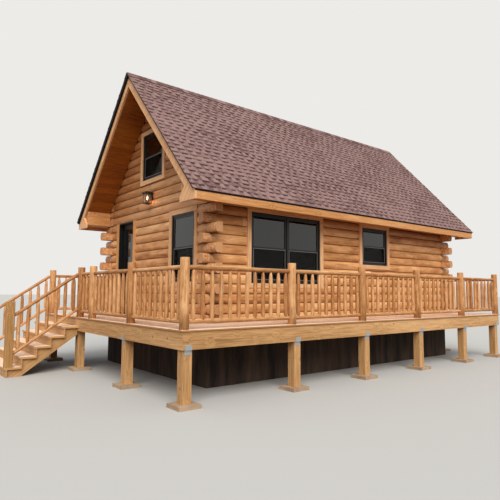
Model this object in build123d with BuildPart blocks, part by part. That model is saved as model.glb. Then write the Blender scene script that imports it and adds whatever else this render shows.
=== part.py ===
"""A small log cabin with a steep gabled roof, on a raised deck that runs all round it.

The origin is on the ground, under the middle of the whole outline. +X runs along the
long front wall, +Y goes from the front to the back, and +Z is up. Lengths are in
millimetres and angles in degrees. The entry door is in the gable end at low X.
"""

import math
import os
from collections import namedtuple

from build123d import *

# The cabin's log walls
cabin_length = 7730
cabin_width = 4290
log_course = 178
log_thickness = 150
log_bulge = 38
log_courses_to_soffit = 12
log_overhang = 235
log_overhang_by_window = 95

# The roof
ridge_height = 5034
roof_pitch = 47.0
roof_depth = 205
eave_overhang = 496
rake_overhang = 591
trim_board = 38
fascia_height = 150
rake_board_height = 185
rake_foot_rise = 160
soffit_board = 19
ridge_cap_reach = 160
ridge_cap_thickness = 12

# The deck, its frame and its rails
walk_front = 1067
walk_left = 1123
walk_right = 778
walk_back = 913
deck_board = 28
deck_lip = 20
deck_wall_gap = 5
deck_board_gap = 2
deck_frame_depth = 257
deck_rim_thickness = 76
joist_thickness = 38
joist_spacing = 406
rail_post = 146
rail_post_sides = 12
rail_post_height = 1037
first_bay = 2118
last_bay = 1747
middle_bays = 3
side_bay = 1757
short_bay = 669
right_bays = 4
top_rail = 68
top_rail_level = 930
bottom_rail = 64
bottom_rail_level = 145
rail_sides = 8
spindle = 68
spindle_sides = 4
spindle_spacing = 172

# The posts under the deck
column_size = 150
column_inset = 50
column_shift = 100
pad_size = 360
pad_height = 60
cap_plate = 4
cap_flange = 70
cap_width = 110

# The stair up to the deck's left side
riser_height = 184
riser_count = 6
tread_run = 265
tread_board = 38
tread_nosing = 25
riser_board = 19
stringer_board = 38
stringer_drop = 137
newel = 140
newel_chamfer = 12
newel_height = 1247
stair_rail = 66
stair_rail_rise = 900
stair_low_rail_rise = 165

# The floors and what carries them
foundation_thickness = 200
foundation_inset = 25
floor_board = 20
loft_level = 2360
loft_board = 30
loft_beam_width = 120
loft_beam_depth = 170
loft_beam_count = 6
loft_beam_seat = 60

# Windows and the door
casing_width = 90
casing_proud = 12
casing_let_in = 1
window_jamb = 34
window_sash = 42
window_depth = 96
window_setback = 8
sash_setback = 14
sash_depth = 30
glass_thickness = 6
door_start = 2983
door_width = 778
door_jamb = 20
door_leaf_depth = 45
door_stile = 105
door_bottom_rail = 230
door_stop = 14
door_stop_depth = 20
door_gap = 6
latch_gap = 8
door_sill = 36
hinge_radius = 8
hinge_pin_radius = 3.5
hinge_length = 100
hinge_end_distance = 180
hinge_plate = 3
hinge_reach = 34
hinge_running_gap = 0.3
handle_height = 940
handle_plate_width = 44
handle_plate_height = 200
handle_plate_thickness = 8
handle_above_plate_foot = 90
handle_stem = 50
lever_length = 110
lever_size = 18

# The lantern on the entry gable
lantern_level = 2360
lantern_height = 275
lantern_width = 120
lantern_roof_width = 166
lantern_roof_rise = 62
lantern_tip = 40
lantern_bar = 12
lantern_reach = 40
lantern_plate_width = 110

seat = 0.3

# Places worked out from the sizes above
roof_slope = math.tan(math.radians(roof_pitch))
roof_drop = roof_depth / math.cos(math.radians(roof_pitch))
deck_top = riser_height * riser_count
deck_length = walk_left + cabin_length + walk_right
deck_width = walk_front + cabin_width + walk_back
stair_reach = tread_run * (riser_count - 1) + riser_board + tread_nosing - deck_lip
pad_beyond = pad_size / 2 - column_inset - column_size / 2
total_length = stair_reach + deck_length + pad_beyond

deck_x0 = stair_reach - total_length / 2
deck_x1 = deck_x0 + deck_length
deck_y0 = -deck_width / 2
deck_y1 = deck_width / 2
house_x0 = deck_x0 + walk_left
house_x1 = house_x0 + cabin_length
house_y0 = deck_y0 + walk_front
house_y1 = house_y0 + cabin_width
ridge_y = (house_y0 + house_y1) / 2

wall_base = deck_top - deck_board
soffit_level = wall_base + log_courses_to_soffit * log_course
ridge_level = deck_top + ridge_height
frame_bottom = wall_base - deck_frame_depth
log_courses_to_ridge = math.ceil((ridge_level - wall_base) / log_course)
inner_x0 = house_x0 + log_thickness
inner_x1 = house_x1 - log_thickness
inner_y0 = house_y0 + log_thickness
inner_y1 = house_y1 - log_thickness
roof_x0 = house_x0 - rake_overhang
roof_x1 = house_x1 + rake_overhang
eave_y0 = house_y0 - eave_overhang
eave_y1 = house_y1 + eave_overhang

Wall = namedtuple("Wall", "axis outer inward")
walls = {
    "front": Wall("x", house_y0, 1),
    "back": Wall("x", house_y1, -1),
    "entry": Wall("y", house_x0, 1),
    "far": Wall("y", house_x1, -1),
}

# Each window: its start along the wall from the low corner, its width, the height of
# its sill and of its head above the deck, and how many sashes stand side by side
Window = namedtuple("Window", "wall start width sill head lights")
windows = [
    Window("front", 970, 1860, 706, 2050, 2),
    Window("front", 4217, 933, 1175, 2030, 1),
    Window("back", 1400, 933, 1175, 2030, 1),
    Window("back", 4900, 1860, 706, 2050, 2),
    Window("entry", 447, 829, 724, 2016, 1),
    Window("entry", 1700, 890, 2920, 3920, 1),
    Window("far", 447, 829, 724, 2016, 1),
    Window("far", 3014, 829, 724, 2016, 1),
    Window("far", 1700, 890, 2920, 3920, 1),
]


def roof_top(y):
    """Height of the roof's upper face over a line at y."""
    return ridge_level - roof_slope * abs(y - ridge_y)


def roof_under(y):
    """Height of the roof's lower face over a line at y."""
    return roof_top(y) - roof_drop


def block(x, y, z, mode=Mode.ADD):
    """A box from its low and high ends along each axis."""
    spans = (x, y, z)
    with Locations(tuple((low + high) / 2 for low, high in spans)):
        Box(*(high - low for low, high in spans), mode=mode)


def wall_block(wall, along, depth, height, mode=Mode.ADD):
    """A box on a wall: along it, into it from the outer face, and up."""
    into = sorted(walls[wall].outer + walls[wall].inward * step for step in depth)
    if walls[wall].axis == "x":
        block(along, into, height, mode)
    else:
        block(into, along, height, mode)


def save(piece, name):
    """Names a finished piece and writes it to its own file."""
    piece.part.label = name
    export_step(piece.part, f"parts/{name}.step")


os.makedirs("parts", exist_ok=True)


# Masonry walls under the cabin
found_x = (house_x0 + foundation_inset, house_x1 - foundation_inset)
found_y = (house_y0 + foundation_inset, house_y1 - foundation_inset)
with BuildPart() as foundation_long_walls:
    block(found_x, (found_y[0], found_y[0] + foundation_thickness), (0, frame_bottom))
    block(found_x, (found_y[1] - foundation_thickness, found_y[1]), (0, frame_bottom))
save(foundation_long_walls, "foundation_long_walls")

found_between = (found_y[0] + foundation_thickness, found_y[1] - foundation_thickness)
with BuildPart() as foundation_end_walls:
    block((found_x[0], found_x[0] + foundation_thickness), found_between, (0, frame_bottom))
    block((found_x[1] - foundation_thickness, found_x[1]), found_between, (0, frame_bottom))
save(foundation_end_walls, "foundation_end_walls")


# Joists and boards of the cabin's floor
def joisted(run, across, levels, rims, along_x):
    """A frame: joists evenly spread along a run, between rims of two thicknesses."""
    count = round((run[1] - run[0] - joist_thickness) / joist_spacing)
    step = (run[1] - run[0] - joist_thickness) / count
    places = [run[0] + joist_thickness / 2 + step * (index + 0.5) for index in range(count)]
    inner = (across[0] + rims[0], across[1] - rims[1])
    middle = (inner[0] + inner[1]) / 2
    height = levels[1] - levels[0]
    level = (levels[0] + levels[1]) / 2
    if along_x:
        block(run, across, levels)
        with Locations(*((place, middle, level) for place in places)):
            Box(step - joist_thickness, inner[1] - inner[0], height, mode=Mode.SUBTRACT)
    else:
        block(across, run, levels)
        with Locations(*((middle, place, level) for place in places)):
            Box(inner[1] - inner[0], step - joist_thickness, height, mode=Mode.SUBTRACT)


floor_top = wall_base
floor_levels = (frame_bottom, floor_top - floor_board)
with BuildPart() as floor_frame:
    joisted(found_x, found_y, floor_levels, (joist_thickness, joist_thickness), True)
save(floor_frame, "floor_frame")

with BuildPart() as cabin_floor:
    block(found_x, found_y, (floor_levels[1], floor_top))
save(cabin_floor, "cabin_floor")


# Log walls
def log_face(outer, inward, level):
    """The end of one log: flat inside and on its beds, rounded outside."""
    groove = outer + inward * log_bulge
    inner = outer + inward * log_thickness
    top = level + log_course
    with BuildLine() as outline:
        Polyline((groove, level), (inner, level), (inner, top), (groove, top))
        ThreePointArc((groove, top), (outer, level + log_course / 2), (groove, level))
    make_face(outline.edges())


def corner_end(course, passes, overhang):
    """How far a course runs past the outer corner, or stops short inside it."""
    if not passes:
        return -log_thickness
    shows = 1 <= course < log_courses_to_soffit
    return overhang if shows else 0


def log_stack(wall, courses, low, high, low_overhang=log_overhang, high_overhang=log_overhang):
    """Courses of one wall between two ends, fused along their beds.

    At a corner, each wall's logs run through on every other course by an overhang, and
    the other wall's logs meet their inner faces. An end with no overhang isn't a corner.
    """
    along_x = walls[wall].axis == "x"
    runs = {}
    for course in courses:
        passes = course % 2 == (0 if along_x else 1)
        start = low - corner_end(course, passes, low_overhang) if low_overhang else low
        end = high + corner_end(course, passes, high_overhang) if high_overhang else high
        runs.setdefault((start, end), []).append(course)
    for (start, end), levels in runs.items():
        section = Plane.YZ.offset(start) if along_x else Plane.XZ.offset(-end)
        with BuildSketch(section) as ends:
            for course in levels:
                log_face(walls[wall].outer, walls[wall].inward, wall_base + course * log_course)
        extrude(ends.sketch, amount=end - start)


def trim_to_roof():
    """Cuts the tops of the logs to the slopes of the roof."""
    low, high = eave_y0, eave_y1
    with BuildSketch(Plane.YZ.offset(roof_x0)) as under:
        with BuildLine():
            Polyline(
                (low, wall_base),
                (high, wall_base),
                (high, roof_under(high) - seat),
                (ridge_y, roof_under(ridge_y) - seat),
                (low, roof_under(low) - seat),
                close=True,
            )
        make_face()
    extrude(under.sketch, amount=roof_x1 - roof_x0, mode=Mode.INTERSECT)


def window_span(window):
    """A window's low and high ends along its wall."""
    low = (house_x0 if walls[window.wall].axis == "x" else house_y0) + window.start
    return low, low + window.width


def window_heights(window):
    """A window's sill and head levels."""
    return deck_top + window.sill, deck_top + window.head


def casing_heights(window):
    """Levels of the casing's lower and upper edges, kept under the eave soffit."""
    sill, head = window_heights(window)
    top = head + casing_width
    if head < soffit_level:
        top = min(top, soffit_level)
    return sill - casing_width, top


def grown(span, by):
    """A span made longer by the same length at both ends."""
    return span[0] - by, span[1] + by


casing_bed = log_bulge + casing_let_in


def cut_windows(wall, lowest, highest):
    """Cuts the wall for each window between two levels, and beds for their casings."""
    for window in windows:
        if window.wall == wall and lowest <= deck_top + window.sill < highest:
            along = window_span(window)
            through = (-log_bulge, log_thickness + log_bulge)
            wall_block(wall, along, through, window_heights(window), Mode.SUBTRACT)
            bed = (-log_bulge, casing_bed)
            wall_block(wall, grown(along, casing_width), bed, casing_heights(window), Mode.SUBTRACT)


beam_y = (inner_y0 - loft_beam_seat, inner_y1 + loft_beam_seat)
beam_z = (deck_top + loft_level - loft_board - loft_beam_depth, deck_top + loft_level - loft_board)
beam_step = (inner_x1 - inner_x0) / (loft_beam_count + 1)
beam_xs = [inner_x0 + beam_step * (index + 1) for index in range(loft_beam_count)]


def cut_beam_pockets():
    """Cuts the pockets in which the ends of the loft beams sit."""
    for x in beam_xs:
        half = loft_beam_width / 2 + seat
        block((x - half, x + half), grown(beam_y, seat), (beam_z[0], beam_z[1] + seat), Mode.SUBTRACT)


long_wall_courses = range(math.ceil((roof_under(inner_y0) - wall_base) / log_course))
with BuildPart() as front_wall:
    log_stack("front", long_wall_courses, house_x0, house_x1, log_overhang_by_window)
    trim_to_roof()
    cut_windows("front", wall_base, ridge_level)
    cut_beam_pockets()
save(front_wall, "front_wall")

with BuildPart() as back_wall:
    log_stack("back", long_wall_courses, house_x0, house_x1)
    trim_to_roof()
    cut_windows("back", wall_base, ridge_level)
    cut_beam_pockets()
save(back_wall, "back_wall")

door_low = house_y0 + door_start
door_high = door_low + door_width
low_courses = range(log_courses_to_soffit)
gable_courses = range(log_courses_to_soffit, log_courses_to_ridge)


def cut_door_casing_beds():
    """Beds for the casings beside the doorway."""
    sides = ((door_low - casing_width, door_low), (door_high, door_high + casing_width))
    for side in sides:
        wall_block("entry", side, (-log_bulge, casing_bed), (deck_top, soffit_level), Mode.SUBTRACT)


with BuildPart() as entry_wall_near:
    log_stack("entry", low_courses, house_y0, door_low, high_overhang=0)
    cut_windows("entry", wall_base, soffit_level)
    cut_door_casing_beds()
save(entry_wall_near, "entry_wall_near")

with BuildPart() as entry_wall_far:
    log_stack("entry", low_courses, door_high, house_y1, low_overhang=0)
    cut_door_casing_beds()
save(entry_wall_far, "entry_wall_far")

with BuildPart() as entry_gable:
    log_stack("entry", gable_courses, house_y0, house_y1)
    trim_to_roof()
    cut_windows("entry", soffit_level, ridge_level)
save(entry_gable, "entry_gable")

with BuildPart() as far_wall:
    log_stack("far", low_courses, house_y0, house_y1)
    cut_windows("far", wall_base, soffit_level)
save(far_wall, "far_wall")

with BuildPart() as far_gable:
    log_stack("far", gable_courses, house_y0, house_y1)
    trim_to_roof()
    cut_windows("far", soffit_level, ridge_level)
save(far_gable, "far_gable")


# Loft floor on its beams
with BuildPart() as loft_beams:
    for x in beam_xs:
        block((x - loft_beam_width / 2, x + loft_beam_width / 2), beam_y, beam_z)
save(loft_beams, "loft_beams")

loft_top = deck_top + loft_level
with BuildPart() as loft_floor:
    block((inner_x0 + seat, inner_x1 - seat), (inner_y0 + seat, inner_y1 - seat), (beam_z[1], loft_top))
save(loft_floor, "loft_floor")


# Roof slopes, cut plumb behind the fascia and level over the soffit
soffit_top = soffit_level + soffit_board
slab_x = (roof_x0 + trim_board, roof_x1 - trim_board)


def roof_slab(name, side):
    """One slope of the roof; side is -1 at the front and 1 at the back."""
    edge = (eave_y0 if side < 0 else eave_y1) - side * trim_board
    level_from = ridge_y + side * (ridge_level - roof_drop - soffit_top) / roof_slope
    joint = ridge_y + side * seat / 2
    with BuildPart() as slab:
        with BuildSketch(Plane.YZ.offset(slab_x[0])):
            with BuildLine():
                Polyline(
                    (joint, roof_top(joint)),
                    (edge, roof_top(edge)),
                    (edge, soffit_top),
                    (level_from, soffit_top),
                    (joint, roof_under(joint)),
                    close=True,
                )
            make_face()
        extrude(amount=slab_x[1] - slab_x[0])
    save(slab, name)


roof_slab("roof_front", -1)
roof_slab("roof_back", 1)

cap_rise = ridge_cap_thickness / math.cos(math.radians(roof_pitch))
cap_reach = ridge_cap_reach * math.cos(math.radians(roof_pitch))
with BuildPart() as ridge_cap:
    with BuildSketch(Plane.YZ.offset(roof_x0)):
        with BuildLine():
            Polyline(
                (ridge_y - cap_reach, roof_top(ridge_y - cap_reach) + seat),
                (ridge_y, ridge_level + seat),
                (ridge_y + cap_reach, roof_top(ridge_y + cap_reach) + seat),
                (ridge_y + cap_reach, roof_top(ridge_y + cap_reach) + cap_rise),
                (ridge_y, ridge_level + cap_rise),
                (ridge_y - cap_reach, roof_top(ridge_y - cap_reach) + cap_rise),
                close=True,
            )
        make_face()
    extrude(amount=roof_x1 - roof_x0)
save(ridge_cap, "ridge_cap")

# Fascias along the eaves, and the level soffits behind them
fascia_bottom = soffit_level - fascia_height / 2
with BuildPart() as eave_fascias:
    for side, edge in ((-1, eave_y0), (1, eave_y1)):
        back = edge - side * trim_board
        with BuildSketch(Plane.YZ.offset(slab_x[0])):
            with BuildLine():
                Polyline(
                    (edge, fascia_bottom),
                    (back, fascia_bottom),
                    (back, roof_top(back) - seat),
                    (edge, roof_top(edge) - seat),
                    close=True,
                )
            make_face()
        extrude(amount=slab_x[1] - slab_x[0])
save(eave_fascias, "eave_fascias")

with BuildPart() as eave_soffits:
    for side, edge, wall_face in ((-1, eave_y0, house_y0), (1, eave_y1, house_y1)):
        span = sorted((edge - side * trim_board, wall_face))
        block(slab_x, span, (soffit_level, soffit_top))
save(eave_soffits, "eave_soffits")

# Upright boards that close the boxed eaves where they run past the gable walls
with BuildPart() as eave_returns:
    for side, wall_face in ((-1, house_y0), (1, house_y1)):
        inner = wall_face + side * soffit_board
        for start, end in ((slab_x[0], house_x0 - seat), (house_x1 + seat, slab_x[1])):
            with BuildSketch(Plane.YZ.offset(start)):
                with BuildLine():
                    Polyline(
                        (wall_face, soffit_top),
                        (inner, soffit_top),
                        (inner, roof_under(inner) - seat),
                        (wall_face, roof_under(wall_face) - seat),
                        close=True,
                    )
                make_face()
            extrude(amount=end - start)
save(eave_returns, "eave_returns")


# Rake boards up the gables, widened at their feet to cover the ends of the eaves
rake_drop = rake_board_height / math.cos(math.radians(roof_pitch))
foot_reach = (ridge_level - rake_drop - soffit_top - rake_foot_rise) / roof_slope


def rake_boards(name, start):
    """The pair of boards at one gable, meeting at the ridge."""
    with BuildPart() as boards:
        for side, edge, wall_face in ((-1, eave_y0, house_y0), (1, eave_y1, house_y1)):
            joint = ridge_y + side * seat / 2
            foot = wall_face + side * soffit_board
            with BuildSketch(Plane.YZ.offset(start)):
                with BuildLine():
                    Polyline(
                        (joint, roof_top(joint) - seat),
                        (edge, roof_top(edge) - seat),
                        (edge, fascia_bottom),
                        (foot, fascia_bottom),
                        (foot, soffit_top),
                        (ridge_y + side * foot_reach, soffit_top + rake_foot_rise),
                        (joint, roof_top(joint) - rake_drop),
                        close=True,
                    )
                make_face()
            extrude(amount=trim_board)
    save(boards, name)


rake_boards("left_rake_boards", roof_x0)
rake_boards("right_rake_boards", roof_x1 - trim_board)


# Window casings, frames and glass
def casing(window):
    """The boards round a window's outer face."""
    along = window_span(window)
    depth = (-casing_proud, casing_bed)
    wall_block(window.wall, grown(along, casing_width), depth, casing_heights(window))
    wall_block(window.wall, along, (-log_bulge, log_thickness), window_heights(window), Mode.SUBTRACT)


def wall_plane(wall, depth):
    """A plane on a wall, at a depth inside its outer face, seen along the wall and up."""
    place = walls[wall].outer + walls[wall].inward * depth
    if walls[wall].axis == "x":
        return Plane((0, place, 0), x_dir=(1, 0, 0), z_dir=(0, -1, 0))
    return Plane((place, 0, 0), x_dir=(0, 1, 0), z_dir=(1, 0, 0))


def into_wall(wall, length):
    """A distance into a wall, as the plane on it counts."""
    return length * walls[wall].inward * (-1 if walls[wall].axis == "x" else 1)


def pane(span, levels, mode=Mode.ADD):
    """A rectangle on a wall's plane from its ends and its levels."""
    with Locations(((span[0] + span[1]) / 2, (levels[0] + levels[1]) / 2)):
        Rectangle(span[1] - span[0], levels[1] - levels[0], mode=mode)


def sash_lights(window):
    """Each sash: its span, its levels, and the depth of its outer face."""
    low, high = grown(window_span(window), -window_jamb)
    sill, head = grown(window_heights(window), -window_jamb)
    meeting = (sill + head) / 2
    step = (high - low + window_jamb) / window.lights
    outer_face = window_setback + sash_setback
    lights = []
    for index in range(window.lights):
        span = (low + index * step, low + (index + 1) * step - window_jamb)
        lights.append((span, (meeting - window_sash / 2, head), outer_face))
        lights.append((span, (sill, meeting + window_sash / 2), outer_face + sash_depth))
    return lights


def window_frame(window):
    """The outer frame with an upper sash outside a lower one."""
    sashes = sash_lights(window)
    with BuildSketch(wall_plane(window.wall, window_setback)) as frame:
        pane(window_span(window), window_heights(window))
        for span, levels, face in sashes:
            pane(span, levels, Mode.SUBTRACT)
    extrude(frame.sketch, amount=into_wall(window.wall, window_depth))
    for row in (sashes[0::2], sashes[1::2]):
        with BuildSketch(wall_plane(window.wall, row[0][2])) as rails:
            for span, levels, face in row:
                pane(span, levels)
                pane(grown(span, -window_sash), grown(levels, -window_sash), Mode.SUBTRACT)
        extrude(rails.sketch, amount=into_wall(window.wall, sash_depth))


def window_panes(window):
    """The sheet of glass in each sash."""
    for span, levels, face in sash_lights(window):
        front = face + (sash_depth - glass_thickness) / 2
        depth = (front, front + glass_thickness)
        wall_block(window.wall, grown(span, -window_sash), depth, grown(levels, -window_sash))


with BuildPart() as window_casings:
    for window in windows:
        casing(window)
save(window_casings, "window_casings")

with BuildPart() as window_frames:
    for window in windows:
        window_frame(window)
save(window_frames, "window_frames")

with BuildPart() as window_glass:
    for window in windows:
        window_panes(window)
save(window_glass, "window_glass")


# The entry doorway: casings, jambs, head and sill
leaf_depth = (log_thickness - door_leaf_depth, log_thickness)
stop_depth = (leaf_depth[0] - door_gap - door_stop_depth, leaf_depth[0] - door_gap)
leaf_low = door_low + door_jamb + latch_gap
leaf_high = door_high - door_jamb - door_gap
leaf_bottom = wall_base + door_sill + door_gap
leaf_top = soffit_level - seat - door_jamb - door_gap
jamb_depth = (window_setback, log_thickness)

with BuildPart() as door_casings:
    depth = (-casing_proud, casing_bed)
    for side in ((door_low - casing_width, door_low), (door_high, door_high + casing_width)):
        wall_block("entry", side, depth, (deck_top, soffit_level))
save(door_casings, "door_casings")

jamb_z = (wall_base + door_sill, soffit_level - seat - door_jamb)
with BuildPart() as door_jambs:
    wall_block("entry", (door_low, door_low + door_jamb), jamb_depth, jamb_z)
    wall_block("entry", (door_low, door_low + door_jamb + door_stop), stop_depth, jamb_z)
    wall_block("entry", (door_high - door_jamb, door_high), jamb_depth, jamb_z)
    wall_block("entry", (door_high - door_jamb - door_stop, door_high), stop_depth, jamb_z)
save(door_jambs, "door_jambs")

with BuildPart() as door_head:
    wall_block("entry", (door_low, door_high), jamb_depth, (jamb_z[1], soffit_level - seat))
    stop_span = (door_low + door_jamb + door_stop, door_high - door_jamb - door_stop)
    wall_block("entry", stop_span, stop_depth, (jamb_z[1] - door_stop, jamb_z[1]))
save(door_head, "door_head")

with BuildPart() as door_threshold:
    sill_top = wall_base + door_sill
    wall_block("entry", (door_low, door_high), (-deck_lip, log_thickness), (deck_top, sill_top))
    wall_block("entry", (door_low, door_high), (log_bulge, log_thickness), (wall_base, sill_top))
save(door_threshold, "door_threshold")

# The door leaf with its glass and handle
light_span = (leaf_low + door_stile, leaf_high - door_stile)
light_z = (leaf_bottom + door_bottom_rail, leaf_top - door_stile)
with BuildPart() as door_leaf:
    wall_block("entry", (leaf_low, leaf_high), leaf_depth, (leaf_bottom, leaf_top))
    wall_block("entry", light_span, (0, log_thickness + log_bulge), light_z, Mode.SUBTRACT)
save(door_leaf, "door_leaf")

with BuildPart() as door_glass:
    leaf_middle = (leaf_depth[0] + leaf_depth[1]) / 2
    wall_block("entry", light_span, grown((leaf_middle, leaf_middle), glass_thickness), light_z)
save(door_glass, "door_glass")

handle_y = leaf_low + door_stile / 2
handle_z = deck_top + handle_height
plate_low = handle_z - handle_above_plate_foot
with BuildPart() as door_handle:
    for face, out in ((leaf_depth[0], -1), (leaf_depth[1], 1)):
        plate = sorted((face, face + out * handle_plate_thickness))
        plate_span = grown((handle_y, handle_y), handle_plate_width / 2)
        wall_block("entry", plate_span, plate, (plate_low, plate_low + handle_plate_height))
        stem = sorted((face, face + out * handle_stem))
        half = lever_size / 2
        wall_block("entry", grown((handle_y, handle_y), half), stem, grown((handle_z, handle_z), half))
        bar = sorted((face + out * handle_stem, face + out * (handle_stem - lever_size)))
        reach = (handle_y - half, handle_y + lever_length)
        wall_block("entry", reach, bar, grown((handle_z, handle_z), half))
save(door_handle, "door_handle")

# Hinges: a pin fixed to the jamb's knuckles, and a bored knuckle on the leaf
hinge_x = inner_x0 + hinge_radius
hinge_y = leaf_high + door_gap / 2
low_hinge = leaf_bottom + hinge_end_distance
high_hinge = leaf_top - hinge_end_distance - hinge_length
hinge_levels = [low_hinge, (low_hinge + high_hinge) / 2, high_hinge]
knuckle = hinge_length / 3


def knuckle_at(z0, z1, radius, mode=Mode.ADD):
    """A round piece of a hinge on its axis."""
    with BuildSketch(Plane.XY.offset(z0)) as section:
        with Locations((hinge_x, hinge_y)):
            Circle(radius)
    extrude(section.sketch, amount=z1 - z0, mode=mode)


plate_x = (inner_x0, inner_x0 + hinge_plate)
with BuildPart() as jamb_hinges:
    for level in hinge_levels:
        knuckle_at(level, level + hinge_length, hinge_pin_radius)
        for start in (level, level + 2 * knuckle):
            knuckle_at(start, start + knuckle, hinge_radius)
            block(plate_x, (hinge_y, hinge_y + hinge_reach), (start, start + knuckle))
save(jamb_hinges, "jamb_hinges")

with BuildPart() as leaf_hinges:
    for level in hinge_levels:
        start = level + knuckle + hinge_running_gap
        end = level + 2 * knuckle - hinge_running_gap
        knuckle_at(start, end, hinge_radius)
        block(plate_x, (hinge_y - hinge_reach, hinge_y), (start, end))
        knuckle_at(start, end, hinge_pin_radius + hinge_running_gap, Mode.SUBTRACT)
save(leaf_hinges, "leaf_hinges")


# Lantern on the entry gable: a cage under a flat hipped roof, on an arm from its plate
lantern_z = deck_top + lantern_level
lantern_top = lantern_z + lantern_height
lantern_middle = house_x0 - lantern_reach - lantern_width / 2
cage_x = grown((lantern_middle, lantern_middle), lantern_width / 2)
cage_y = grown((ridge_y, ridge_y), lantern_width / 2)
cage_z = (lantern_z + lantern_bar, lantern_top - lantern_roof_rise)


def lantern_roof_side(middle):
    """One side view of the lantern's roof, from the middle of its width, as points."""
    half, tip = lantern_roof_width / 2, lantern_tip / 2
    eave, top = cage_z[1], lantern_top
    return [(middle - half, eave), (middle + half, eave), (middle + tip, top), (middle - tip, top)]


with BuildPart() as lantern:
    with BuildSketch(Plane.YZ.offset(lantern_middle - lantern_roof_width / 2)) as seen_along_x:
        with BuildLine() as outline:
            Polyline(*lantern_roof_side(ridge_y), close=True)
        make_face(outline.edges())
    extrude(seen_along_x.sketch, amount=lantern_roof_width)
    with BuildSketch(Plane.XZ.offset(-ridge_y - lantern_roof_width / 2)) as seen_along_y:
        with BuildLine() as outline:
            Polyline(*lantern_roof_side(lantern_middle), close=True)
        make_face(outline.edges())
    extrude(seen_along_y.sketch, amount=lantern_roof_width, mode=Mode.INTERSECT)
    wall_plate = grown((ridge_y, ridge_y), lantern_plate_width / 2)
    block((house_x0 - lantern_bar, house_x0), wall_plate, cage_z)
    arm = (cage_z[1] - lantern_bar, cage_z[1])
    block((cage_x[0], house_x0), grown((ridge_y, ridge_y), lantern_bar), arm)
    block(cage_x, cage_y, (lantern_z, cage_z[0]))
    for x in (cage_x[0], cage_x[1] - lantern_bar):
        for y in (cage_y[0], cage_y[1] - lantern_bar):
            block((x, x + lantern_bar), (y, y + lantern_bar), cage_z)
save(lantern, "lantern")

with BuildPart() as lantern_glass:
    glass_z = (cage_z[0], cage_z[1] - lantern_bar)
    block(grown(cage_x, -lantern_bar), grown(cage_y, -lantern_bar), glass_z)
save(lantern_glass, "lantern_glass")


# Deck boards and the frame under them, side by side round the cabin
deck_z = (wall_base, deck_top)
front_band = (deck_y0, house_y0 - deck_wall_gap)
back_band = (house_y1 + deck_wall_gap, deck_y1)
left_band = (deck_x0, house_x0 - deck_wall_gap)
right_band = (house_x1 + deck_wall_gap, deck_x1)
side_band = (front_band[1] + deck_board_gap, back_band[0] - deck_board_gap)
with BuildPart() as deck_boards:
    for band in (front_band, back_band):
        block((deck_x0, deck_x1), band, deck_z)
    for band in (left_band, right_band):
        block(band, side_band, deck_z)
save(deck_boards, "deck_boards")

frame_levels = (frame_bottom, wall_base)
rim_x = (deck_x0 + deck_lip, deck_x1 - deck_lip)
rim_y = (deck_y0 + deck_lip, deck_y1 - deck_lip)
rim_first = (deck_rim_thickness, joist_thickness)
rim_last = (joist_thickness, deck_rim_thickness)
with BuildPart() as deck_frames:
    joisted(rim_x, (rim_y[0], found_y[0] - seat), frame_levels, rim_first, True)
    joisted(rim_x, (found_y[1] + seat, rim_y[1]), frame_levels, rim_last, True)
    joisted(found_y, (rim_x[0], found_x[0] - seat), frame_levels, rim_first, False)
    joisted(found_y, (found_x[1] + seat, rim_x[1]), frame_levels, rim_last, False)
save(deck_frames, "deck_frames")


# Square posts under the rims, on their pads. Each has a metal cap that laps the rim,
# but for the one behind the stair.
line_x = (deck_x0 + rail_post / 2, deck_x1 - rail_post / 2)
line_y = (deck_y0 + rail_post / 2, deck_y1 - rail_post / 2)
middle_bay = (line_x[1] - line_x[0] - first_bay - last_bay) / middle_bays
front_posts = [line_x[0]]
front_posts += [line_x[0] + first_bay + index * middle_bay for index in range(middle_bays + 1)]
front_posts.append(line_x[1])
stair_y = (line_y[0] + 2 * side_bay + short_bay, line_y[1])
left_posts = [line_y[0] + side_bay, line_y[0] + 2 * side_bay, stair_y[0]]
right_bay = (line_y[1] - line_y[0]) / right_bays
right_posts = [line_y[0] + right_bay * (index + 1) for index in range(right_bays - 1)]

column_line = column_inset + column_size / 2
column_x = (deck_x0 + column_line, deck_x1 - column_line)
column_y = (deck_y0 + column_line, deck_y1 - column_line)
row_xs = [column_x[0], *(x + column_shift for x in front_posts[1:-1]), column_x[1]]
columns = [(x, column_y[0], 0, -1) for x in row_xs]
columns += [(x, column_y[1], 0, 1) for x in row_xs]
columns.append((column_x[0], left_posts[0] + 2 * column_shift, -1, 0))
columns.append((column_x[0], stair_y[0] + column_shift, 0, 0))
columns += [(column_x[1], y, 1, 0) for y in right_posts]
column_top = frame_bottom - cap_plate

with BuildPart() as deck_columns:
    for x, y, out_x, out_y in columns:
        top = column_top if out_x or out_y else frame_bottom
        block(grown((x, x), column_size / 2), grown((y, y), column_size / 2), (pad_height, top))
save(deck_columns, "deck_columns")

with BuildPart() as footing_pads:
    for x, y, out_x, out_y in columns:
        block(grown((x, x), pad_size / 2), grown((y, y), pad_size / 2), (0, pad_height))
save(footing_pads, "footing_pads")

cap_face = column_line - deck_lip
with BuildPart() as post_caps:
    for x, y, out_x, out_y in columns:
        parts = (
            ((cap_face, cap_face + cap_plate), (frame_bottom - cap_plate, frame_bottom + cap_flange)),
            ((-column_size / 2, cap_face + cap_plate), (column_top, frame_bottom)),
            ((column_size / 2, column_size / 2 + cap_plate), (column_top - cap_flange, frame_bottom)),
        )
        for reach, levels in parts:
            if out_x:
                span = sorted(x + out_x * step for step in reach)
                block(span, grown((y, y), cap_width / 2), levels)
            elif out_y:
                span = sorted(y + out_y * step for step in reach)
                block(grown((x, x), cap_width / 2), span, levels)
save(post_caps, "post_caps")


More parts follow.
